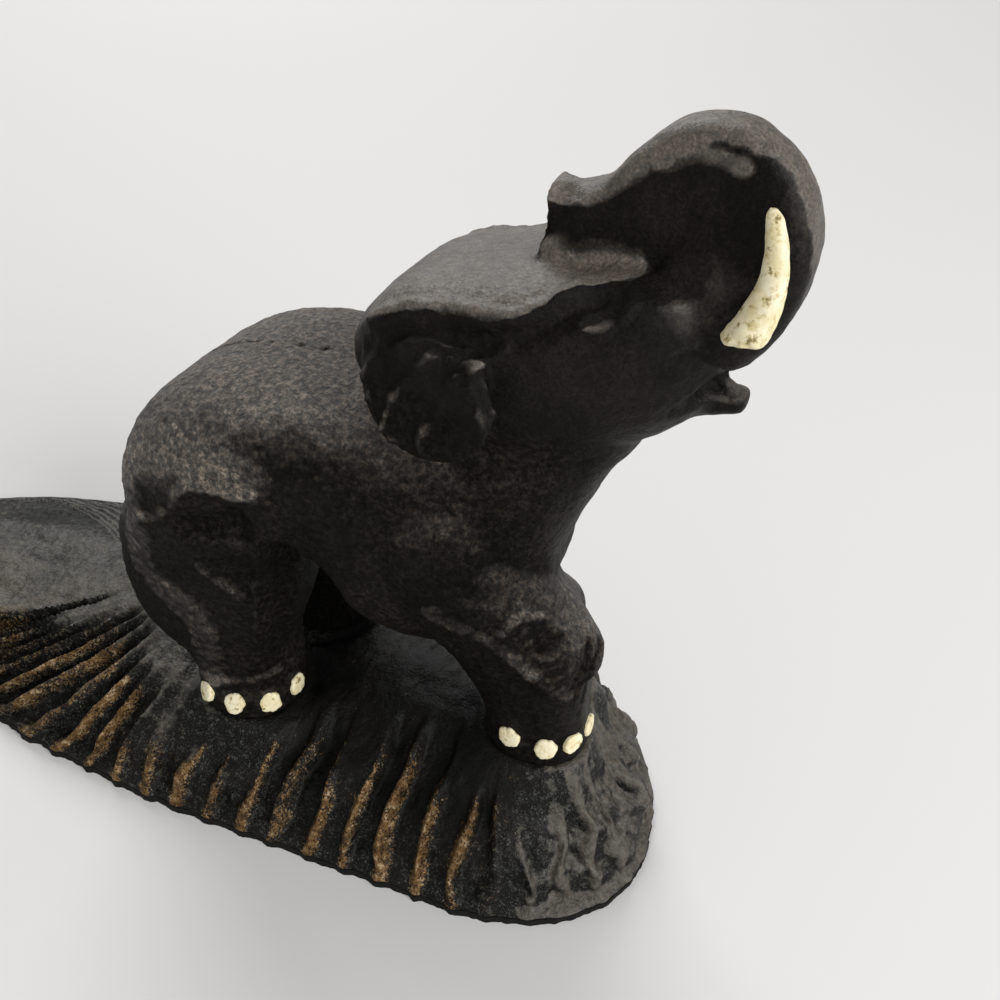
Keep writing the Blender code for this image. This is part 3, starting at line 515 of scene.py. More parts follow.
# painted glints: light-grey specks over the black, fewer where the belly's painted shade lies
painted_glint = rock.math("MULTIPLY", rock.ramp(rock.spread(glint, mottle, 0.8), (0.55, 0.0), (0.74, 0.8)),
                  rock.ramp(rock.math("ADD", marked_dust_light_and_shade, 1.2), (0.0, 0.0), (0.8, 1.0)))
ground = rock.mix(painted_glint, rock.mix(dust_light_and_shade, dark, dusty_lit_tone), (0.11, 0.115, 0.10))
bronze = rock.ramp(rock.noise(1.8, 4.0, 0.65), (0.36, (0.070, 0.036, 0.013)),
                   (0.54, (0.20, 0.115, 0.045)), (0.70, (0.44, 0.34, 0.21)))
grains = rock.spread(rock.spread(rock.spread(rub, broad, 1.4), mottle, 1.7), fine, 2.6)
brushed = rock.ramp(grains, (0.58, 0.0), (0.95, 1.0))
rock.feed("Base Color", rock.mix(brushed, ground, bronze))
rock.feed("Roughness", rock.ramp(mottle, (0.3, 0.36), (0.7, 0.55)))
rock.feed("Metallic", rock.math("MULTIPLY", brushed, 0.35))
rock.feed("Specular IOR Level", rock.ramp(dust_light_and_shade, (0.0, 0.15), (0.6, 0.45)))
rock.bump((mottle, 0.6, 0.6), (pitting, 0.25, 0.5), (fine, 0.2, 0.6))

# %% [markdown]
# ### Ivory paint, steel and rubber

# %% Other finishes
ivory = Tree("ivory_paint")
stain = ivory.noise(3.5, 4.0, 0.6)
spot = ivory.noise(0.8, 3.0, 0.6)
dirt = ivory.noise(1.7, 4.0, 0.6)
clean = ivory.ramp(stain, (0.35, (0.76, 0.66, 0.38)), (0.6, (0.90, 0.83, 0.60)))
yellow = ivory.ramp(ivory.spread(dirt, spot, 0.5), (0.50, 0.0), (0.62, 0.8))
yellowed = ivory.mix(yellow, clean, (0.60, 0.49, 0.22))
ivory.feed("Base Color", ivory.mix(ivory.ramp(dirt, (0.60, 0.0), (0.66, 0.9)), yellowed, (0.20, 0.14, 0.035)))
ivory.feed("Roughness", ivory.ramp(spot, (0.3, 0.42), (0.7, 0.6)))
ivory.bump((stain, 0.3, 0.4), (spot, 0.12, 0.4))

steel = Tree("bright_steel")
turned = steel.noise(0.6, 2.0, 0.5, stretch=(1.0, 1.0, 8.0))
steel.feed("Base Color", steel.ramp(turned, (0.3, (0.42, 0.42, 0.43)), (0.7, (0.62, 0.62, 0.63))))
steel.feed("Roughness", steel.ramp(turned, (0.3, 0.28), (0.7, 0.45)))
steel.feed("Metallic", 1.0)
steel.bump((turned, 0.05, 0.3))

rubber = Tree("black_rubber")
crumb = rubber.noise(0.7, 4.0, 0.6)
rubber.feed("Base Color", rubber.ramp(crumb, (0.35, 0.004), (0.7, (0.012, 0.011, 0.010))))
rubber.feed("Specular IOR Level", 0.15)
rubber.feed("Roughness", rubber.ramp(crumb, (0.3, 0.75), (0.7, 0.95)))
rubber.bump((crumb, 0.2, 0.6))
FINISHES = {"paint": paint, "rock": rock, "ivory": ivory, "steel": steel, "rubber": rubber}
print("finishes:", ", ".join(FINISHES))


def cover(piece, finish):
    """Give a piece one finish in place of what it had."""
    piece.data.materials.clear()
    piece.data.materials.append(FINISHES[finish].material)


def dress(piece, finish, slot, *replaced):
    """Give a piece its material and its body, and hide the CAD nodes that it stands for."""
    cover(piece, finish)
    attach(piece, "root")
    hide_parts(*replaced)


# %% [markdown]
# ## The rock wedge
#
# Rings of one plan outline close in on a crest line: 76 rings of 1,280 points, enough to carry the
# ridges as real shape. The plan has nearly straight sides, a round nose and a long tapered tail.

# %% Plan and crest
WEDGE_FRONT_X = 115
WEDGE_TAIL_X = -131
WEDGE_HALF_WIDTH = 46.4
WEDGE_WIDEST_X = 0
WEDGE_FRONT_TAPER = 0.085
WEDGE_SIDES = 1280
WEDGE_RINGS = 76
OUTLINE_STEPS = 2000
NOSE_LENGTH = 40
NOSE_ROUNDNESS = 2.1
NOSE_SKEW = 6
TAIL_ROUNDNESS = 3
TAIL_BLUNTNESS = 0.7
CREST_NOSE_INSET = 36
CREST_TAIL_INSET = 20
DOME_FULLNESS = 1.95
TAIL_CREST = (
    (-111, 6.8), (-90, 9.2), (-66, 12.4), (-40, 18.8), (-12, 25.3),
)
CREST_OVER_HIND_LAND = 2.5
CREST_OVER_FRONT_LAND = 0.6
PAD_THICKNESS = 2


def nose_share(x):
    """0 where the wedge's nose begins, 1 at its tip."""
    return np.clip((x - (WEDGE_FRONT_X - NOSE_LENGTH)) / NOSE_LENGTH, 0, 1)


def half_width_at(x):
    """The plan's half width: nearly straight sides, a round nose and a long tapered tail."""
    straight = WEDGE_HALF_WIDTH - WEDGE_FRONT_TAPER * np.clip(x - WEDGE_WIDEST_X, 0, None)
    tail = np.clip((WEDGE_WIDEST_X - x) / (WEDGE_WIDEST_X - WEDGE_TAIL_X), 0, 1)
    rounded = straight * np.sqrt(1 - nose_share(x) ** NOSE_ROUNDNESS)
    return rounded * (1 - tail ** TAIL_ROUNDNESS) ** TAIL_BLUNTNESS


def plan_outline(sides):
    """Points of the plan, evenly spaced round it, from the tail along -Y."""
    angle = np.linspace(0, math.pi, OUTLINE_STEPS)
    x = (WEDGE_FRONT_X + WEDGE_TAIL_X) / 2 - (WEDGE_FRONT_X - WEDGE_TAIL_X) / 2 * np.cos(angle)
    near = np.column_stack([x, -half_width_at(x)])
    far = near[::-1][1:-1] * np.array([1, -1])
    loop = np.vstack([near, far, near[:1]])
    loop[:, 1] -= NOSE_SKEW * nose_share(loop[:, 0]) ** 2
    steps = np.concatenate([[0], np.cumsum(np.linalg.norm(np.diff(loop, axis=0), axis=1))])
    wanted = np.linspace(0, steps[-1], sides, endpoint=False)
    return np.column_stack([np.interp(wanted, steps, loop[:, 0]), np.interp(wanted, steps, loop[:, 1])])


def crest_height(x):
    """Height of the wedge's crest, from its thin tail past the hind lands to the front land."""
    hind = HIND_LAND_HEIGHT + CREST_OVER_HIND_LAND
    front = FRONT_LAND_HEIGHT + CREST_OVER_FRONT_LAND
    rows = catmull((*TAIL_CREST, (HIND_FOOT_X, hind),
                    ((HIND_FOOT_X + FRONT_FOOT_X) / 2, (hind + front) / 2), (FRONT_FOOT_X, front)), 6)
    return np.interp(x, rows[:, 0], rows[:, 1])


# %% [markdown]
# ### Ridges down the flank
#
# The rock is grooved from its edge up toward the feet. Broad grooves leave narrow crests between them,
# which is what the bronze brush touches, and where a groove starts low its two crests run into one
# above it. The ridges lean toward the nose as they rise, and along the tail they fan out from the heel
# of the hind foot. All the relief goes inward, so the wedge keeps the size of its plain casting.

# %% Ridge relief
RIDGE_COUNT = 64
RIDGE_DEPTH = 3.8
RIDGE_LEAN = 4
UPRIGHT_X = 38
FAN_X = -2
FAN_SHARE = 0.74
FAN_BLEND = 25
TAIL_RIDGES = 13
TAIL_SPREAD = 0.66
TAIL_FADE = (5, 25)            # a fade is where it starts and how long it is
NOSE_RIDGES = 0.65
FLANK_FADE = (80, 14)
VALLEY_REACH = 0.95            # in half grooves, as the slope and the crest are
VALLEY_SLOPE = 0.5
CREST_FADE = (0.35, 0.55)
HEM_FADE = (0.82, 0.18)        # in shares of the way down the flank
HEM_CUT = 0.8
BRUSH_START = 0.20
BRUSH_FADE = 0.35
TAIL_STARTS_EARLIER = 0.55
TAIL_GROWS_FASTER = 0.3
TAIL_CUTS_DEEPER = 0.35
TAIL_BRUSHED_EARLIER = 0.10
ridge_random = np.random.default_rng(7)
groove_start = ridge_random.uniform(0.12, 0.62, RIDGE_COUNT)
groove_rise = ridge_random.uniform(0.14, 0.30, RIDGE_COUNT)
groove_depth = RIDGE_DEPTH * ridge_random.uniform(0.5, 1.15, RIDGE_COUNT)
groove_width = ridge_random.uniform(0.85, 1.15, RIDGE_COUNT)
crest_rub = ridge_random.uniform(0.65, 1.1, RIDGE_COUNT)


def ridge_place(plan, share):
    """Which groove each side's point is on, counted along the wedge's edge from the tail."""
    x = plan[:, 0]
    rise = 1 - share
    fanned = FAN_X + (x - FAN_X) / (1 - rise * FAN_SHARE)
    lean = RIDGE_LEAN * (1 - (x - FAN_X) / (UPRIGHT_X - FAN_X)) * rising(x, FAN_X, FAN_BLEND)
    leaned = x - lean * rise * (1 - nose_share(x))
    foot_x = np.where(x < FAN_X, fanned, leaned)
    half = WEDGE_SIDES // 2
    along = np.interp(foot_x, x[:half + 1], np.arange(half + 1))
    along = np.where(np.arange(WEDGE_SIDES) > half, WEDGE_SIDES - along, along) * RIDGE_COUNT / WEDGE_SIDES
    return TAIL_RIDGES + (along - TAIL_RIDGES) * np.where(along < TAIL_RIDGES, TAIL_SPREAD, 1)


def ridge_relief(at, share, x):
    """How far each side's point sinks on one ring, how much the brush touches it, and its painted light on
    the crests and painted shade in the grooves.
    """
    nearest = np.round(at).astype(int) % RIDGE_COUNT
    between = np.floor(at).astype(int) % RIDGE_COUNT
    off = np.abs(at - np.round(at)) / 0.5
    on_flank = 1 - rising(x, *FLANK_FADE)
    on_tail = rising(-x, *TAIL_FADE)
    start = groove_start[nearest] * (1 - TAIL_STARTS_EARLIER * on_tail)
    grow = rising(share, start, groove_rise[nearest] * (1 - TAIL_GROWS_FASTER * on_tail))
    grow = grow * (NOSE_RIDGES + (1 - NOSE_RIDGES) * on_flank)
    valley = rising(VALLEY_REACH * groove_width[nearest], off, VALLEY_SLOPE)
    crest = rising(off, *CREST_FADE)
    touch = ease((share - BRUSH_START + TAIL_BRUSHED_EARLIER * on_tail) / BRUSH_FADE)
    brushed = crest * on_flank * grow * touch * crest_rub[between]
    depth = groove_depth[nearest] * (1 + TAIL_CUTS_DEEPER * on_tail)
    hem = 1 - HEM_CUT * rising(share, *HEM_FADE)
    return depth * grow * valley * hem, brushed, crest - grow * valley


# %% Build the wedge
FLOOR_ROOM = 0.6               # of the height over the pad that a groove may take
LEVEL = 0.02                   # a surface that faces up less than this counts as upright
RING_RISE = 0.02               # least rise from ring to ring, up from the bottom edge
FAR_TAIL_SMOOTH = 0.9
NOSE_FADE = (84, 16)
NOSE_FRONT_FADE = (0.05, 0.45)
WANDER = 0.2
WANDER_ON_NOSE = 0.5
WANDER_RISE = 40
BELLY_X = 52
BELLY_REACH = 30
BELLY_HALF_WIDTH = 36
BELLY_FADE = 16
# painted light on the crests and painted shade in the grooves
CREST_LIGHT_GROOVE_SHADE = 0.28
NOSE_CREST_LIGHT_GROOVE_SHADE = 0.22
# dust and painted light on the nose
NOSE_DUST_AND_LIGHT = 0.85
# darker towards the bottom of the flank
LOW_FLANK_DARKENING = 0.25
LOW_FLANK_DARKENING_FADE = (0.25, 0.2)
# painted shade under the belly
BELLY_PAINTED_SHADE = 1.8
floor_z = PAD_THICKNESS + GAP
plan = plan_outline(WEDGE_SIDES)
plan_x = plan[:, 0]
spine = np.clip(plan_x, WEDGE_TAIL_X + CREST_TAIL_INSET, WEDGE_FRONT_X - CREST_NOSE_INSET)
shares = np.arange(1, WEDGE_RINGS + 1) / WEDGE_RINGS
dome = []
for share in shares:
    out = math.sin(math.pi / 2 * share) ** (2 / DOME_FULLNESS)
    height = math.cos(math.pi / 2 * share) ** (2 / DOME_FULLNESS)
    dome.append(np.column_stack([spine + (plan_x - spine) * out, plan[:, 1] * out,
                                 floor_z + (crest_height(spine) - floor_z) * height]))
dome = np.array(dome)
dome_out = np.cross(np.gradient(dome, axis=0), np.roll(dome, -1, axis=1) - np.roll(dome, 1, axis=1))
dome_out /= np.maximum(np.linalg.norm(dome_out, axis=2), 1e-9)[:, :, None]
dome_out[-1, :, 2] = 0
far_tail = rising(-plan_x, *TAIL_FADE) * (plan[:, 1] > 0)
rubs = []
dust_light_and_shade_rows = []
for ring, out, share in zip(dome, dome_out, shares):
    wander = (WANDER + WANDER_ON_NOSE * nose_share(plan_x)) * grain(
        level_ring(plan, share * WANDER_RISE), 13, 3, octaves=2)
    push, touched, crest_light_and_groove_shade = ridge_relief(ridge_place(plan, share) + wander, share, plan_x)
    room = FLOOR_ROOM * (ring[:, 2] - floor_z) / np.maximum(out[:, 2], LEVEL)
    room = np.where(out[:, 2] > LEVEL, room, np.inf)
    push = push * (1 - FAR_TAIL_SMOOTH * far_tail)
    ring -= out * np.minimum(push, room)[:, None]
    rubs.append(touched * (1 - far_tail))
    nose_front = rising(plan_x, *NOSE_FADE) * rising(out[:, 0], *NOSE_FRONT_FADE)
    # where the painted shade under the belly lies
    under_belly = (ease(1.6 - np.abs(ring[:, 0] - BELLY_X) / BELLY_REACH)
                   * rising(BELLY_HALF_WIDTH, np.abs(ring[:, 1]), BELLY_FADE))
    # dust, painted light and painted shade, which the rock's paint reads
    dust_light_and_shade_rows.append((CREST_LIGHT_GROOVE_SHADE + NOSE_CREST_LIGHT_GROOVE_SHADE * nose_front) * crest_light_and_groove_shade + NOSE_DUST_AND_LIGHT * nose_front
                 - LOW_FLANK_DARKENING * rising(share, *LOW_FLANK_DARKENING_FADE) * (1 - far_tail) - BELLY_PAINTED_SHADE * under_belly)
wedge_points = dome.reshape(-1, 3)
x, y, z = wedge_points.T       # views, which move with the points
wedge_rub = np.concatenate(rubs)
wedge_dust_light_and_shade = np.concatenate(dust_light_and_shade_rows)

# the ground rises to each land in a soft skirt, and the land itself is flat
FEET = []
for side in (RIGHT, LEFT):
    FEET.append((FRONT_FOOT_X - front_step(side), side * FRONT_FOOT_Y, FRONT_FOOT_LENGTH_RADIUS,
                 FRONT_FOOT_WIDTH_RADIUS, FRONT_LAND_HEIGHT))
    FEET.append((HIND_FOOT_X, side * HIND_FOOT_Y, HIND_FOOT_RADIUS, HIND_FOOT_RADIUS, HIND_LAND_HEIGHT))
LAND_MARGIN = 0.5
SKIRT = 7
for foot_x, foot_y, radius_x, radius_y, land in FEET:
    away = ((np.abs(x - foot_x) / radius_x) ** FOOT_FULLNESS
            + (np.abs(y - foot_y) / radius_y) ** FOOT_FULLNESS) ** (1 / FOOT_FULLNESS)
    away = (away - 1) * (radius_x + radius_y) / 2 - LAND_MARGIN
    hold = ease(1 - away / SKIRT)
    z += (land - z) * hold
    wedge_rub *= 1 - hold

# lumps and grain of the stone, only inward, none on the lands and little on the bottom edge
LUMPS_FROM = 1.05              # in foot radii
LUMPS_FADE = 0.2
EDGE_HEIGHT = 2
EDGE_LUMPS = 0.15
LUMP_DEPTH = 0.9
ROUGH_DEPTH = 0.30
CRUMB_DEPTH = 0.16
NOSE_LUMP_DEPTH = 2.2
free = np.ones(len(wedge_points))
for foot_x, foot_y, radius_x, radius_y, _ in FEET:
    away = np.hypot((x - foot_x) / radius_x, (y - foot_y) / radius_y)
    free *= np.clip((away - LUMPS_FROM) / LUMPS_FADE, 0, 1)
free *= np.clip((z - floor_z) / EDGE_HEIGHT, EDGE_LUMPS, 1)
sunk = (LUMP_DEPTH * (grain(wedge_points, 14, 1) + 0.8).clip(0, None)
        + ROUGH_DEPTH * (grain(wedge_points, 3, 2) + 1)
        + CRUMB_DEPTH * (grain(wedge_points, 1.3, 4, octaves=2) + 1))
nose_lumps = (grain(wedge_points, 9, 7, octaves=2) + 0.5).clip(0, None)
sunk += NOSE_LUMP_DEPTH * rising(x, *NOSE_FADE) * nose_lumps
wedge_points -= dome_out.reshape(-1, 3) * (free * sunk)[:, None]
lowest = floor_z + RING_RISE * np.repeat(np.arange(WEDGE_RINGS)[::-1], WEDGE_SIDES)
z[:] = np.maximum(z, lowest)

# the first ring lies flat along the crest, so each face over it joins a point to its twin
faces = ring_faces(WEDGE_RINGS, WEDGE_SIDES, first_closed=False)
for i in range(WEDGE_SIDES // 2):
    faces.append(tuple(dict.fromkeys((i, i + 1, WEDGE_SIDES - i - 1, (WEDGE_SIDES - i) % WEDGE_SIDES))))
bm = bmesh.new()
add_skin(bm, wedge_points, faces)
wedge = object_from_bmesh("rock_wedge", bm)
store(wedge.data, "rub", wedge_rub)
store(wedge.data, "dust_light_and_shade", wedge_dust_light_and_shade)
smooth_shading(wedge)
dress(wedge, "rock", "bronzed_black_paint", "wedge_base")
print("rock wedge:", len(wedge.data.polygons), "faces")

# %% [markdown]
# ## The elephant
#
# The body is a heap of overlapping volumes: lofts for torso, head, neck and legs, tubes for trunk,
# jaw and tail, and balls for knees, thighs, shoulders and ears. A voxel remesh runs them into one
# skin, and smoothing melts the joints as wax would. Folds are then pressed in or raised along short
# paths over the skin.

# %% Body measures
TORSO = (
    (-16.4, 77, 57, 10), (-13.4, 86, 49, 18), (-7.6, 94.9, 44, 25.5), (-0.4, 101.9, 43, 30.5),
    (12, 107.6, 50, 31.5), (30, 110.6, 68, 28.5), (48, 110.2, 52.5, 25.5), (64, 109, 51.5, 21),
    (76, 104, 62, 15), (83, 95, 76, 7),
)
BACK_FULLNESS = 3.8
BELLY_FULLNESS = 2.4
HEAD = (
    (42.5, 110, 8, 8), (48.5, 115, 14.4, 16), (57, 118.5, 18.7, 19.5), (69, 122, 19.4, 20.2),
    (81, 126.5, 18.8, 19.5), (92, 131, 16.6, 17), (100, 135, 13.6, 14), (105.5, 138, 8.6, 9.5),
)
HEAD_TILT = 22.0
CROWN_FULLNESS = 3.4
HEAD_FULLNESS = 2.6
HEAD_TAPER = 0.25
NECK = (
    (66, 58, 0, 18, 17, 2.2), (80, 60, 0, 22.4, 19, 2.2), (91, 62, 0, 24, 18.5, 2.3),
    (103, 66.5, 0, 24, 17, 2.3), (112, 72.5, 0, 23, 15, 2.2), (120, 80, 0, 18, 12, 2.2),
)
TRUNK = (
    (101.5, 138, 9.6, 11.6), (104.4, 144, 11.2, 10.6), (106.1, 151.5, 11.2, 8),
    (103.7, 158.2, 11, 6.2), (98.9, 160.4, 10.6, 5.8), (93.4, 157, 9.6, 5.8),
    (88.3, 152.4, 8.4, 6), (83, 149.4, 7.7, 6.2), (78, 148.7, 7.7, 6.6), (73.2, 148.6, 7.7, 6.8),
)
JAW = (
    (90, 120, 7, 9), (100, 123.6, 4.5, 6.2), (107.5, 124.6, 3.3, 4.4), (112, 125, 2.3, 3),
)
TRUNK_FULLNESS = 4.5
BRIDGE = (
    (70, 74, 8, 8), (78, 64, 8.6, 8), (84, 58.5, 8, 7.5), (89, 57, 5.6, 6),
)
TAIL = (
    (-14, 80, 2.6, 2.6), (-17.6, 72, 2.8, 2.8), (-18.8, 62, 2.4, 2.4), (-17.6, 52, 2, 2),
    (-15.8, 45, 2.8, 2.8),
)
FRONT_LEG = (
    (10, -1.2, 6.5, 12.3, 9.8, 2.4), (18, -3.6, 6.8, 14.3, 10.2, 2.7),
    (26, -7, 7.4, 17, 11.4, 2.8), (34, -12, 8.6, 21.5, 12.8, 2.7), (44, -17, 10, 17.5, 13.5, 2.4),
    (56, -22, 9.5, 13, 12, 2.2),
)
HIND_LEG = (
    (10, -1.5, 15.5, 13.2, 11, 2.6), (18, -7, 15, 17.7, 12.6, 3.2),
    (27, -7.8, 14.5, 20.6, 14, 3.5), (38, -7, 14, 22.4, 15, 3.4), (50, -5, 14, 22, 15.8, 3),
    (62, -1.5, 12.5, 17, 14, 2.4),
)
ANKLE_HEIGHT = 4.0
BELOW_LAND = 1.0
KNEE = (4, 7.5, 60.5)
KNEE_RADII = (8.8, 8.4, 9)
THIGH = (15, 16, 76)
THIGH_RADII = (16.5, 15, 22)
SHOULDER = (60, 10.5, 84)
SHOULDER_RADII = (16, 14.5, 18)
WEB = (94, 0, 150)
WEB_RADII = (9, 5, 8)
EAR = (61.8, 22.5, 122.8)
EAR_RADII = (14.2, 3.4, 12.8)
EAR_YAW = 9.0
EAR_ROLL = 8.0


# %% Masses
def add_sections(bm, rows, outline, tilt=0, taper=0):
    """A loft over upright sections of x, z, half height and half width, leaning by tilt."""
    across, up = outline
    lean = math.radians(tilt)
    add_rings(bm, [np.column_stack([x - math.sin(lean) * half_height * up,
                                    half_width * across * (1 + taper * up),
                                    z + math.cos(lean) * half_height * up])
                   for x, z, half_height, half_width in catmull(rows, 6)])


def add_tube(bm, rows, fullness=2, count=64):
    """A tube along a path in the seam plane: x, z, radius in that plane and half width across it."""
    path = catmull(rows, 8)
    slope = np.gradient(path[:, :2], axis=0)
    slope /= np.linalg.norm(slope, axis=1)[:, None]
    across, up = superellipse(count, fullness)
    add_rings(bm, [np.column_stack([x - rise * radius * up, half_width * across, z + run * radius * up])
                   for (x, z, radius, half_width), (run, rise) in zip(path, slope)])


def add_upright(bm, rows, side, count=56):
    """A loft over level sections of z, x, y, radius along x, radius along y and fullness."""
    rings = []
    for z, x, y, radius_x, radius_y, fullness in catmull(rows, 6):
        across, up = superellipse(count, fullness)
        rings.append(level_ring(np.column_stack([x + radius_x * across, side * y + radius_y * up]), z))
    add_rings(bm, rings)


def add_ball(bm, centre, radii, turned=Matrix.Identity(4)):
    scale = Matrix.Diagonal(Vector(radii) * MM).to_4x4()
    place = Matrix.Translation(Vector(to_frame(centre))) @ turned @ scale
    bmesh.ops.create_icosphere(bm, subdivisions=5, radius=1, matrix=place)


def leg_rows(land, foot, leg, step=0, lean=0, drop=0):
    """A leg's sections from below its land up: a straight hoof, then the leg."""
    foot_x, *section = foot
    hoof = [(z, 0, *section, FOOT_FULLNESS) for z in (-BELOW_LAND, ANKLE_HEIGHT)]
    top = leg[-1][0]
    placed = []
    for z, x, *rest in (*hoof, *leg):
        share = max(z, 0) / top
        placed.append((land + z - drop * math.sin(math.pi * share), foot_x + x - step - lean * share, *rest))
    return placed


def mirrored(centre, side):
    x, y, z = centre
    return (x, side * y, z)


def ear_turn(side):
    yaw = Matrix.Rotation(math.radians(EAR_YAW * side), 4, "Z")
    return yaw @ Matrix.Rotation(math.radians(EAR_ROLL * side), 4, "X")


SECTION_SIDES = 72
bm = bmesh.new()
torso = [(x, (top + low) / 2, (top - low) / 2, width) for x, top, low, width in TORSO]
add_sections(bm, torso, superellipse(SECTION_SIDES, BACK_FULLNESS, BELLY_FULLNESS))
add_sections(bm, HEAD, superellipse(SECTION_SIDES, CROWN_FULLNESS, HEAD_FULLNESS), HEAD_TILT, HEAD_TAPER)
add_upright(bm, NECK, RIGHT)
add_tube(bm, TRUNK, TRUNK_FULLNESS)
for tube in (JAW, TAIL, BRIDGE):
    add_tube(bm, tube)
add_ball(bm, WEB, WEB_RADII)
front_foot = (FRONT_FOOT_X, FRONT_FOOT_Y, FRONT_FOOT_LENGTH_RADIUS, FRONT_FOOT_WIDTH_RADIUS)
hind_foot = (HIND_FOOT_X, HIND_FOOT_Y, HIND_FOOT_RADIUS, HIND_FOOT_RADIUS)
for side in (RIGHT, LEFT):
    step = front_step(side)
    lean, drop = (FRONT_LEFT_LEAN, FRONT_LEFT_DROP) if side == LEFT else (0, 0)
    add_upright(bm, leg_rows(FRONT_LAND_HEIGHT, front_foot, FRONT_LEG, step, lean, drop), side)
    add_upright(bm, leg_rows(HIND_LAND_HEIGHT, hind_foot, HIND_LEG), side)
    add_ball(bm, (FRONT_FOOT_X + KNEE[0] - step - lean / 3, side * KNEE[1], KNEE[2] - drop), KNEE_RADII)
    add_ball(bm, mirrored(THIGH, side), THIGH_RADII)
    add_ball(bm, mirrored(SHOULDER, side), SHOULDER_RADII)
    add_ball(bm, mirrored(EAR, side), EAR_RADII, ear_turn(side))
form = object_from_bmesh("elephant_form", bm)
print("masses:", len(form.data.polygons), "faces")

# %% [markdown]
# ### One skin
#
# Voxels of 0.62 mm keep folds of about a millimetre. The smoothing has to melt the joints as far as
# on the plain casting, so it takes more rounds where the voxels are finer.

# %% Run the masses together
VOXEL = 0.62
SOFTENING = 3.3
remesh = form.modifiers.new("run_together", "REMESH")
remesh.mode = "VOXEL"
remesh.voxel_size = VOXEL * MM
soften = form.modifiers.new("soften", "SMOOTH")
soften.factor = 0.5
soften.iterations = round((SOFTENING / VOXEL) ** 2)
bake(form)
print("one skin:", len(form.data.polygons), "faces")

# %% [markdown]
# ### Folds, lids and hollows
#
# Each row below is a path over the skin, how far it reaches to either side, how far it stands up or
# sinks, and how much painted light it gets there, or painted shade where the number is negative. A last
# number can give the width of its slope. The rows are for the right side and are mirrored to the left. Noise
# frays every edge, as hand-cut wax would be.

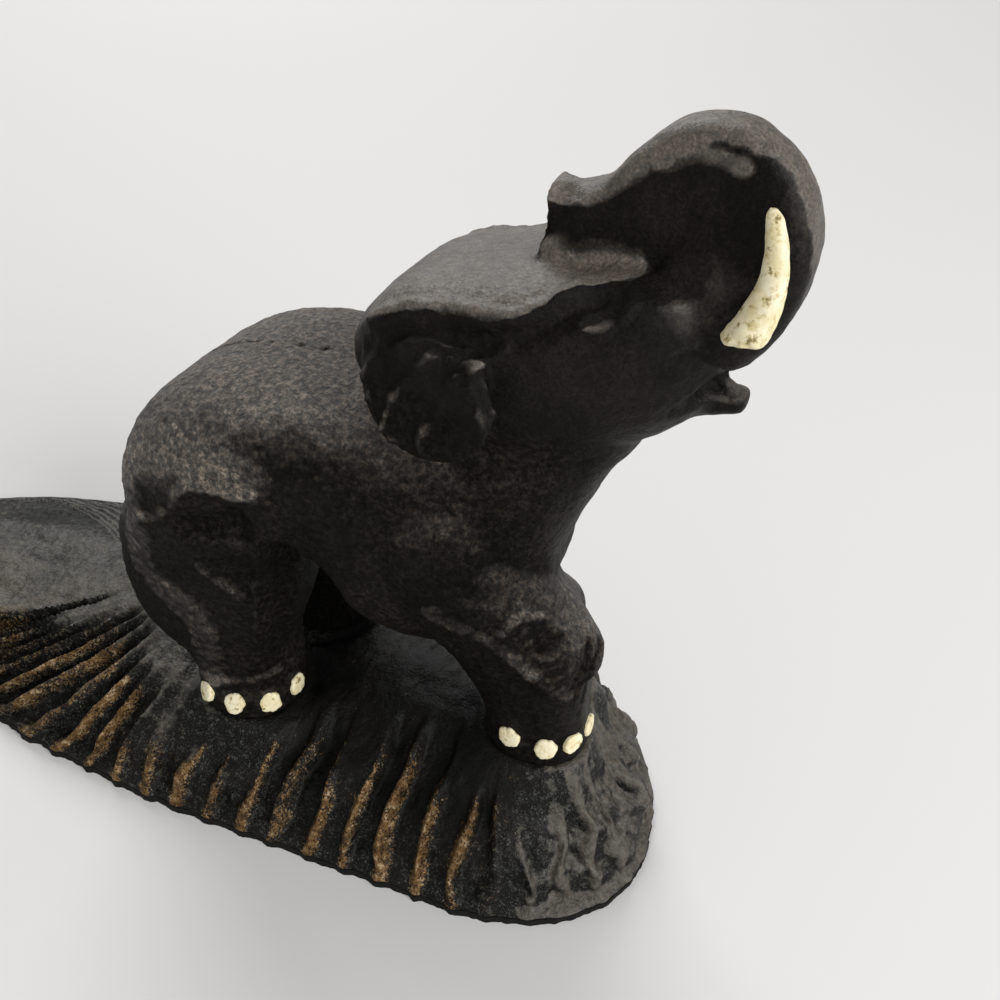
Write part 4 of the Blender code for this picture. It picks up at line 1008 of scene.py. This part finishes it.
# %% Fold table
FOLDS = (
    # pocket beside the trunk's tip
    (((76.5, 5, 154.5), (75, 5, 150)), 4.2, -2.4, -0.4),
    # painted light on the band over the trunk's outer curve, and painted shade on its flat side
    (((76, 1, 156.4), (82.6, 1, 157.6), (88.5, 1, 163), (93.7, 1, 168.2), (99, 1, 171),
      (104.7, 1, 170.6)), 5.8, 0, 0.55, 1),
    (((104.7, 1, 170.6), (111, 1, 166.8), (115.5, 1, 160), (117.6, 1, 152), (117, 1, 144)),
     4.2, 0, 0.4, 1.4),
    (((92, 6, 163), (97.5, 6, 166), (103.5, 6, 165.5)), 2.4, 0, 0.5, 1.6),
    (((80, 7, 150), (88, 7, 155), (97, 7, 160), (105, 8, 158)), 7, 0, -0.5),
    # edge of the crown above the ear and the crown behind it, with painted light, and the groove under it,
    # with painted shade
    (((49.5, 18.6, 132), (54.3, 18.6, 136.2), (60.9, 18.6, 138.6), (66.3, 19.9, 139.4), (71.4, 20.6, 139.8),
      (77.3, 20.2, 141.4), (80, 18.6, 143.4), (83.4, 13.4, 146.3)), 3, 1.3, 0.3),
    (((50, 15, 133.5), (60.9, 15, 140), (71.4, 15, 142), (79, 13, 144.6)), 7, 0, 0.3),
    (((78, 9, 147), (84, 10, 147.8), (88.5, 9, 148)), 5.2, 0, 0.65, 1.4),
    (((72, 10, 144), (80, 14, 144.6)), 5, 0, 0.3, 3),
    (((84.5, 17.5, 143.5), (90, 14.5, 146.2), (95, 11, 147.2)), 4.2, 0, -0.8, 1.4),
    (((51, 20.6, 127.6), (56.4, 21.3, 133), (61.9, 21.4, 134.4), (67.3, 21.4, 134.6), (74.1, 21, 135.4),
      (78.7, 20, 137.2), (82.5, 18.9, 141), (86.1, 15.9, 143.8), (90.4, 12.9, 145.2)), 3.2, -1.8, 0),
    (((49.5, 20, 126.6), (56.4, 21.3, 133), (61.9, 21.4, 134.4), (67.3, 21.4, 134.8), (74.1, 21, 135.8),
      (78.7, 20, 137.8), (82.5, 18.9, 141.2), (86.1, 15.9, 143.2), (90.4, 13.6, 144.6)), 3.4, 0, -0.8, 0.7),
    # eye socket and its lid
    (((89.8, 16.6, 143.2),), 4.6, -1.2, -0.3),
    (((86.7, 18.5, 140.4), (89, 17.8, 140.2), (91, 16.4, 141.4), (92.4, 15.3, 143.1), (93.4, 14.4, 144.6)),
     1.6, 0.9, 0.22),
    # painted shade on the side of the face, painted light on its front
    (((79.4, 20.5, 135.5), (85.5, 19.2, 137.6), (91.5, 18, 138.8), (96.4, 15.1, 143.2)), 6, 0, -0.3),
    (((94, 15, 137), (100.8, 12.9, 139)), 9, 0.3, 0.12),
    (((90, 10, 152), (97, 9, 150)), 7, 0, -0.5, 4),
    # mouth above the jaw
    (((100, 9, 126.5), (107, 6, 129), (111, 0, 130)), 3.4, -2.4, -0.3),
    (((104.7, 5.6, 128.1), (107.4, 3, 127.7)), 2.4, -1.2, -0.4),
    # fold from under the ear to the jaw
    (((62, 24, 106), (74, 21, 107), (84, 17, 113)), 5, -1.6, -0.1),
    (((56, 25, 124), (67, 26, 120)), 14, 0, -0.22, 4),
    # ear: sunk dish, rim, two folds that fan down, rolled front edge in two, and the line along the top
    (((57.5, 25.5, 125.5), (66, 26.5, 120.5)), 9, -1.6, -0.2),
    (((51.5, 23, 127), (50.2, 23.5, 122), (52, 24.5, 118), (55.4, 25.7, 114), (58.8, 26.3, 112.2),
      (63.1, 27.2, 111.9), (66.8, 27.4, 112.8), (71.2, 27.5, 115.3), (74, 26.3, 117)), 1.8, 1.3, 0.6),
    (((63.5, 24.8, 130.9), (60.4, 24.8, 126.9), (57.5, 24.8, 122.8), (56, 25.8, 119.7), (55.3, 26.2, 116.4)),
     2.4, 1.3, 0.44),
    (((57.5, 24.8, 122.8), (56, 25.8, 119.7), (55.3, 26.2, 116.4)), 2.2, 0, 0.3),
    (((68.6, 26.1, 129), (66.8, 26.3, 124.8), (65, 25.8, 120.3), (62.9, 26, 116.1), (63.2, 26.4, 113.9)),
     2.2, 1, 0.38),
    (((68.6, 26.1, 129), (67.4, 26.2, 126.6)), 3.4, 0, -0.35),
    (((64, 25.8, 118), (62.9, 26, 116.1), (63.2, 26.4, 113.9)), 2.2, 0, 0.3),
    (((75.2, 20.8, 135.1), (72.4, 22.6, 132.9), (71.6, 24.6, 131), (71.6, 25.8, 128.5), (73.1, 26.2, 125.6),
      (74.2, 26.2, 122.1), (74.5, 26.4, 119.3)), 1.8, 1.5, 0.30),
    (((75.2, 20.8, 135.1), (72.4, 22.6, 132.9), (71.6, 24.6, 131)), 1.4, 0.2, 0.15),
    (((74, 23.6, 131.2), (75.6, 24.2, 127.4), (75.6, 25, 124)), 1.3, 0.9, 0.2),
    (((60.2, 21.8, 133.6), (63.5, 22.2, 132.9), (67.8, 22, 133), (72.2, 21.2, 134.4)), 0.9, 0.6, 0.55),
    # thigh: lit upper bulge, its lower rim, the hollow with two ridges, and painted light on the rear band
    (((1, 28, 92), (8, 29.5, 95), (18, 30, 96.5), (26, 28.8, 95)), 10, 0, 0.52),
    (((2.5, 30.5, 77.8), (6.7, 30.4, 80.1), (11, 31.2, 85), (13.5, 31, 89.1), (17, 30.6, 91.4),
      (22, 29.8, 91.4), (27.6, 27.7, 90.7)), 3, 1.3, 0.2),
    (((14.5, 29.5, 80), (23, 28.5, 83)), 7, -3.6, -0.4),
    (((18, 28.5, 72), (23, 28, 70)), 6, -1.8, -0.3),
    (((13.7, 29, 71.9), (14.7, 28.2, 75.5), (22.7, 27.2, 80.9)), 1.3, 0.8, 0.3),
    (((14.3, 29.8, 68.1), (19.5, 28.8, 64), (21.8, 27.9, 61.4)), 3, 1.2, 0.3),
    (((-3, 27.5, 84), (-1.8, 29, 73.5), (-1.3, 29.1, 60.6), (4.2, 28.9, 54), (9.9, 28.5, 48.5),
      (10.2, 27.6, 39.9), (8.9, 26.5, 31.5)), 7, 0.8, 0.40, 4.5),
    # the leg's hard front corner, and painted shade on its front
    (((28.2, 27.4, 89.1), (26.4, 27, 76.2), (24.6, 26.4, 60.9), (22.8, 25.5, 46.4)), 1.8, 0.9, 0.12),
    (((31.5, 24, 88), (30, 22.5, 75), (28.5, 21.5, 60), (27, 20.5, 46)), 4.5, -1.8, -0.6),
    (((35, 26, 82), (39, 23, 70)), 8, -1.6, -0.2),
    # crease above the toenails
    (((10.4, 27.2, 28.5), (17.1, 26.2, 31.3), (21.7, 23.9, 32.9), (24, 20, 33)), 2.2, 0.6, 0.24),
    # knee: swirl with its rim, wrinkles in front, the lit fold behind it and the hollow below
    (((87.6, 17.7, 69),), 6.5, -1.7, -0.25),
    (((79.4, 21.4, 72.3), (82, 18.9, 75.3), (85.8, 15.2, 74.3), (90.2, 13, 70.5), (92.6, 13.2, 66),
      (92.3, 15.3, 61.8), (89, 17.5, 60.9), (84.6, 20, 64.4), (81.6, 21.2, 68.3)), 1.7, 0.9, 0.09),
    (((85, 19, 69.5), (87, 17.4, 72), (89.6, 15.8, 70), (89.4, 16.6, 66.6), (86.8, 18.6, 66.2)),
     1.2, 0.8, 0.09),
    (((93.5, 8.7, 67.4), (94.7, 11.2, 64.5), (93.9, 13.5, 61), (92.8, 13.7, 56)), 1.2, -0.8, -0.3),
    (((95.7, 6.8, 64.4), (95.9, 10.5, 62), (93.9, 11.8, 55.7), (92.6, 12.6, 50)), 1.2, -0.8, -0.3),
    (((96, 4.4, 62), (95, 8, 55), (93.4, 10.4, 46)), 1.2, -0.7, -0.2),
    (((64, 23, 72.4), (73.5, 22.9, 70.3), (78.7, 22.1, 68.3), (83.7, 20.4, 64), (89, 17, 57.8),
      (91.8, 14.9, 54.2)), 3.2, 1.4, 0.16),
    (((70, 22, 64.5), (78, 21.5, 62), (84, 19, 56)), 4.5, -1.2, -0.3),
    # painted light on the chest and shin in front
    (((92, 0, 92), (90, 0, 80)), 9, 0, 0.25),
    (((97, 4, 60), (94.5, 6, 48), (95, 7, 38)), 5, 0, 0.25),
    # nostrils in the trunk's end
    (((66.5, 3, 149),), 4, -2, -0.5),
)


# %% Press the folds
FRAY = 0.8


def path_distance(points, path):
    """Distance from each point to a path of straight runs."""
    nearest = np.full(len(points), np.inf)
    for a, b in zip(path[:-1], path[1:]):
        run = b - a
        along = np.clip((points - a) @ run / max(run @ run, 1e-9), 0, 1)
        nearest = np.minimum(nearest, np.linalg.norm(points - a - along[:, None] * run, axis=1))
    return nearest


def stroke(points, normals, painted_light_and_shade, fray, path, reach, height, rub, slope=None):
    """Raise or sink the surface along a path and paint light or shade along it, with a frayed edge."""
    path = catmull(path, 6) if len(path) > 1 else np.asarray([path[0], path[0]], float)
    fade = ease((reach - path_distance(points, path) - fray) / (slope or reach))
    points += normals * (height * fade)[:, None]
    painted_light_and_shade += rub * fade


points, normals = mesh_points(form.data)
sides = np.where(points[:, 1] < 0, -1, 1)
points[:, 1] *= sides
normals[:, 1] *= sides
painted_light_and_shade = np.zeros(len(points))
fray = FRAY * grain(points, 3, 15)
for path, *how in FOLDS:
    stroke(points, normals, painted_light_and_shade, fray, path, *how)
points[:, 1] *= sides
set_points(form.data, points)
# painted highlights and painted shade, which the elephant's paint reads
store(form.data, "painted_light_and_shade", painted_light_and_shade)
print("folds pressed:", len(FOLDS))

# %% [markdown]
# ### Sand-cast skin
#
# A casting's skin is never smooth: it has soft lumps of a few millimetres and a coarse grain, deeper
# on the flanks than on the crown. The seam shows as a broken line of small pits along the rump.

# %% Cast grain
CAST_INWARD = 0.2              # keeps the lumps within the plain casting
LUMPS = 0.22
GRAIN = 0.08
FLANK_GRAIN = 0.16
SEAM_LINE_DEPTH = 1.7
SEAM_LINE_REACH = 0.9
SEAM_LINE_END_X = 34
SEAM_LINE_LOW_Z = 80
CROWN_Z = 118
CROWN_FRONT_X = 60
CROWN_SLOPE = 0.35
points, normals = mesh_points(form.data)
x, y, z = points.T             # views, which move with the points
flank = np.clip((np.abs(y) - 12) / 8, 0, 1) * np.clip((CROWN_Z - z) / 15, 0, 1)
lumps = (LUMPS * grain(points, 6, 5, octaves=2)
         + (GRAIN + FLANK_GRAIN * flank) * grain(points, 2, 6, octaves=2))
points += normals * (lumps - CAST_INWARD)[:, None]
seam_line = ease(1 - np.abs(y) / SEAM_LINE_REACH) * rising(SEAM_LINE_END_X, x, 6) * (z > SEAM_LINE_LOW_Z)
cracks = (grain(points, 1.8, 12, octaves=2) + 0.2).clip(0, None)
points -= normals * (SEAM_LINE_DEPTH * seam_line * cracks)[:, None]
set_points(form.data, points)
crown = ease((z - CROWN_Z + CROWN_SLOPE * (x - CROWN_FRONT_X).clip(0, 40)) / 10)
store(form.data, "coarse", 1 - 0.8 * crown)
print("seam line's deepest mark:", round(float((seam_line * cracks).max() * SEAM_LINE_DEPTH), 2), "mm")

# %% [markdown]
# ### Two halves
#
# The form is cut on its middle plane into two castings with a hairline between them, and its feet
# are cut level where they stand on the lands.


# %% Split on the seam
SEAM_GAP = 0.06


def split(half, side):
    """Keep one side of the seam, closed by a flat face."""
    bm = bmesh.new()
    bm.from_mesh(half.data)
    result = bmesh.ops.bisect_plane(bm, geom=bm.verts[:] + bm.edges[:] + bm.faces[:],
                                    plane_co=(0.0, side * SEAM_GAP / 2 * MM, 0.0),
                                    plane_no=(0.0, -side, 0.0), clear_outer=True)
    rim = [edge for edge in result["geom_cut"] if isinstance(edge, bmesh.types.BMEdge)]
    bmesh.ops.holes_fill(bm, edges=rim)
    bm.to_mesh(half.data)
    bm.free()


bm = bmesh.new()
bm.from_mesh(form.data)
skin = BVHTree.FromBMesh(bm)
bm.free()
middle_x = (HIND_FOOT_X + FRONT_FOOT_X) / 2
halves = {}
for word, side in SIDES:
    half = add_object(f"cast_{word}_half", form.data.copy())
    split(half, side)
    cut(half, [block("under_hind", (-REACH, -REACH, -REACH), (middle_x, REACH, HIND_LAND_HEIGHT + GAP)),
               block("under_front", (middle_x, -REACH, -REACH), (REACH, REACH, FRONT_LAND_HEIGHT + GAP))])
    smooth_shading(half)
    halves[word] = half
    print(half.name, len(half.data.polygons), "faces")
bpy.data.objects.remove(form, do_unlink=True)

# %% [markdown]
# ### Screws' ways
#
# The left half is counterbored where the two body screws go in, so their heads show from that side.

# %% Counterbores
BODY_SCREWS = ((9.0, 70.0), (57.0, 92.0))
BODY_SCREW_SEAT_Y = 17.0
SCREW_HEAD_RADIUS = 3.8
for x, z in BODY_SCREWS:
    way = rod("counterbore", (x, BODY_SCREW_SEAT_Y, z), (x, REACH, z), SCREW_HEAD_RADIUS + 2 * GAP)
    cut(halves["left"], [way])
for word in halves:
    dress(halves[word], "paint", "brown_black_paint", f"elephant_{word}_half")
print("counterbores:", len(BODY_SCREWS))

# %% [markdown]
# ## Tusks
#
# Each tusk is its own casting let into the face: a bowed cone from a rounded root to a blunt tip,
# painted ivory.

# %% Build the tusks
TUSK_BASE = (110.2, 12.2, 141.8)
TUSK_TIP = (110.0, 8.8, 161.8)
TUSK_BOW = 2.4
TUSK_FLATNESS = 0.8
TUSK_SECTIONS = (
    (0, 2.6), (0.06, 3.5), (0.25, 3), (0.5, 2.2), (0.8, 1.7), (0.94, 1.3), (1, 0.6),
)
KNOB_HEIGHT = 0.12
ROOT_KNOB_HEIGHT = 0.4
ROOT_KNOB_RISE = 5.0
across, up = superellipse(48, 2.0)
for word, side in SIDES:
    root = np.array(mirrored(TUSK_BASE, side))
    run = np.array(mirrored(TUSK_TIP, side)) - root
    rings = []
    for share, radius in catmull(TUSK_SECTIONS, 12):
        x, y, z = root + run * share
        x += TUSK_BOW * math.sin(math.pi * share)
        outline = np.column_stack([x + radius * across, y + radius * TUSK_FLATNESS * up])
        rings.append(level_ring(outline, z))
    tusk = loft(f"ivory_{word}_tusk", rings)
    points, normals = mesh_points(tusk.data)
    knobs = KNOB_HEIGHT + ROOT_KNOB_HEIGHT * rising(root[2] + ROOT_KNOB_RISE, points[:, 2], ROOT_KNOB_RISE)
    points += normals * (knobs * grain(points, 2.8, 9.0))[:, None]
    set_points(tusk.data, points)
    smooth_shading(tusk)
    dress(tusk, "ivory", "ivory_paint", f"{word}_tusk")
    print(tusk.name, len(tusk.data.polygons), "faces")

# %% [markdown]
# ## Toenails
#
# Four flat buttons round each foot. On the real one each was filled by hand, so no two have the same
# outline. One Geometry Nodes tree makes them all: a ball, drawn to a polygon with blunt corners, gone
# uneven and flattened. Its inputs are the nail's sizes, its corners, its unevenness and a seed.

# %% Toenail sizes
NAIL_WIDTH = 5.4
NAIL_HEIGHT = 5.6
NAIL_THICKNESS = 2.4
NAIL_PROUD = 0.9
NAIL_FLATNESS = 0.42
NAIL_UNEVENNESS = 0.55
NAIL_POLYGON = 0.4
NAIL_TURN = 7.0
WOBBLE_SCALE = 1.3
WOBBLE_STEP = 3.7              # how far apart two seeds' outlines are in the noise
WOBBLE_MIDDLE = 0.55
NAIL_LOOK_FROM = 40.0
HIND_NAIL_LIFT = 4.6
FRONT_NAIL_LIFT = 6.0
HIND_NAIL_ANGLES = (-25.0, 14.0, 54.0, 92.0)
FRONT_NAIL_ANGLES = (-16.0, 30.0, 62.0, 95.0)
print("toenail:", NAIL_WIDTH, "x", NAIL_HEIGHT, "mm")


# %% Toenail tree
def nail_tree():
    """The tree and the identifiers of its inputs."""
    tree = bpy.data.node_groups.new("toenail", "GeometryNodeTree")
    inputs = {"Width": NAIL_WIDTH * MM, "Height": NAIL_HEIGHT * MM, "Thickness": NAIL_THICKNESS * MM,
              "Corners": 7, "Unevenness": NAIL_UNEVENNESS, "Seed": 0}
    sockets = {}
    for name, value in inputs.items():
        kind = "NodeSocketInt" if isinstance(value, int) else "NodeSocketFloat"
        socket = tree.interface.new_socket(name, in_out="INPUT", socket_type=kind)
        socket.default_value = value
        sockets[name] = socket.identifier
    tree.interface.new_socket("Nail", in_out="OUTPUT", socket_type="NodeSocketGeometry")
    sizes = tree.nodes.new("NodeGroupInput").outputs

    def node(kind, *values, **settings):
        sockets = {index: value for index, value in enumerate(values) if value is not None}
        return put(tree, kind, sockets, **settings).outputs

    def calc(operation, *values):
        return node("ShaderNodeMath", *values, operation=operation)[0]

    def times(first, second):
        return calc("MULTIPLY", first, second)

    def half(name):
        return times(sizes[name], 0.5)

    ball = node("GeometryNodeMeshIcoSphere", 1.0, 5)[0]
    x, y, z = node("ShaderNodeSeparateXYZ", node("GeometryNodeInputPosition")[0])
    # a polygon's radius round its middle, part of the way from the circle
    corner = calc("DIVIDE", 2 * math.pi, sizes["Corners"])
    around = calc("ADD", calc("ARCTAN2", z, x), calc("ADD", sizes["Seed"], NAIL_TURN))
    off = calc("SUBTRACT", calc("FLOORED_MODULO", around, corner), times(corner, 0.5))
    polygon = calc("DIVIDE", calc("COSINE", times(corner, 0.5)), calc("COSINE", off))
    outline = calc("ADD", times(polygon, NAIL_POLYGON), 1.0 - NAIL_POLYGON)
    # noise that is the same all through the nail's thickness makes the outline uneven
    flat = node("ShaderNodeVectorMath", node("ShaderNodeCombineXYZ", x, 0.0, z)[0], operation="NORMALIZE")[0]
    wobble = node("ShaderNodeTexNoise", flat, times(sizes["Seed"], WOBBLE_STEP), WOBBLE_SCALE,
                  noise_dimensions="4D")[0]
    reach = calc("ADD", outline, times(calc("SUBTRACT", wobble, WOBBLE_MIDDLE), sizes["Unevenness"]))
    through = times(calc("SIGN", y), calc("POWER", calc("ABSOLUTE", y), NAIL_FLATNESS))
    place = node("ShaderNodeCombineXYZ", times(times(x, reach), half("Width")),
                 times(through, half("Thickness")), times(times(z, reach), half("Height")))[0]
    shaped = node("GeometryNodeSetPosition", ball, None, place)[0]
    real = node("GeometryNodeRealizeInstances", shaped)[0]
    node("NodeGroupOutput", node("GeometryNodeSetMaterial", real, None, ivory.material)[0])
    return tree, sockets


toenail, toenail_inputs = nail_tree()
print("toenail tree:", len(toenail.nodes), "nodes, inputs", ", ".join(toenail_inputs))

# %% Build the toenails
nail_random = np.random.default_rng(3)
for word, side in SIDES:
    for foot, x, y, level, angles in (
            ("hind", HIND_FOOT_X, HIND_FOOT_Y, HIND_LAND_HEIGHT + HIND_NAIL_LIFT, HIND_NAIL_ANGLES),
            ("front", FRONT_FOOT_X - front_step(side), FRONT_FOOT_Y, FRONT_LAND_HEIGHT + FRONT_NAIL_LIFT,
             FRONT_NAIL_ANGLES)):
        for number, degrees in enumerate(angles, 1):
            angle = math.radians(degrees)
            outward = Vector((math.sin(angle), side * math.cos(angle), 0.0))
            start = Vector(to_frame((x, side * y, level))) + outward * NAIL_LOOK_FROM * MM
            hit, normal, _, _ = skin.ray_cast(start, -outward)
            sink = NAIL_THICKNESS / 2 - NAIL_PROUD
            spin = normal.to_track_quat("Y", "Z").to_matrix().to_4x4()
            nail = add_object(f"ivory_{foot}_{word}_nail_{number}", bpy.data.meshes.new("nail"))
            modifier = nail.modifiers.new("toenail", "NODES")
            modifier.node_group = toenail
            modifier[toenail_inputs["Corners"]] = int(nail_random.integers(6, 9))
            modifier[toenail_inputs["Seed"]] = int(nail_random.integers(1, 1000))
            bake(nail)
            nail.data.transform(Matrix.Translation(hit - normal * sink * MM) @ spin)
            smooth_shading(nail)
            dress(nail, "ivory", "ivory_paint", f"{foot}_{word}_toenail_{number}")
        print(foot, word, "toenails:", len(angles))

# %% [markdown]
# ## Rubber sheet
#
# A sheet glued under the wedge and trimmed by knife, so its edge is ragged.

# %% Build the sheet
PAD_LIP = 0.1
PAD_JAG = 0.3
PAD_LEVELS = (0.0, 0.7, 1.4, PAD_THICKNESS)
hem = dome[-1, :, :2]
ragged = PAD_LIP + PAD_JAG * grain(level_ring(hem, 0.0), 2.0, 8.0)
hem = hem + dome_out[-1, :, :2] * np.minimum(ragged, np.linalg.norm(plan - hem, axis=1))[:, None]
hem[:, 0] = np.maximum(hem[:, 0], cad_box[0][0] / MM - SHIFT[0])
pad = loft("rubber_sheet", [level_ring(hem, z) for z in PAD_LEVELS])
smooth_shading(pad, 40.0)
dress(pad, "rubber", "black_rubber", "underside_pad")
print("sheet:", PAD_THICKNESS, "mm thick")

# %% [markdown]
# ## Screws
#
# The screws keep their plain shapes and get a bright steel finish.

# %% Dress the screws
screws = [name for name in nodes if name.endswith("_screw")]
for name in screws:
    cover(nodes[name], "steel")
print("screws:", len(screws))
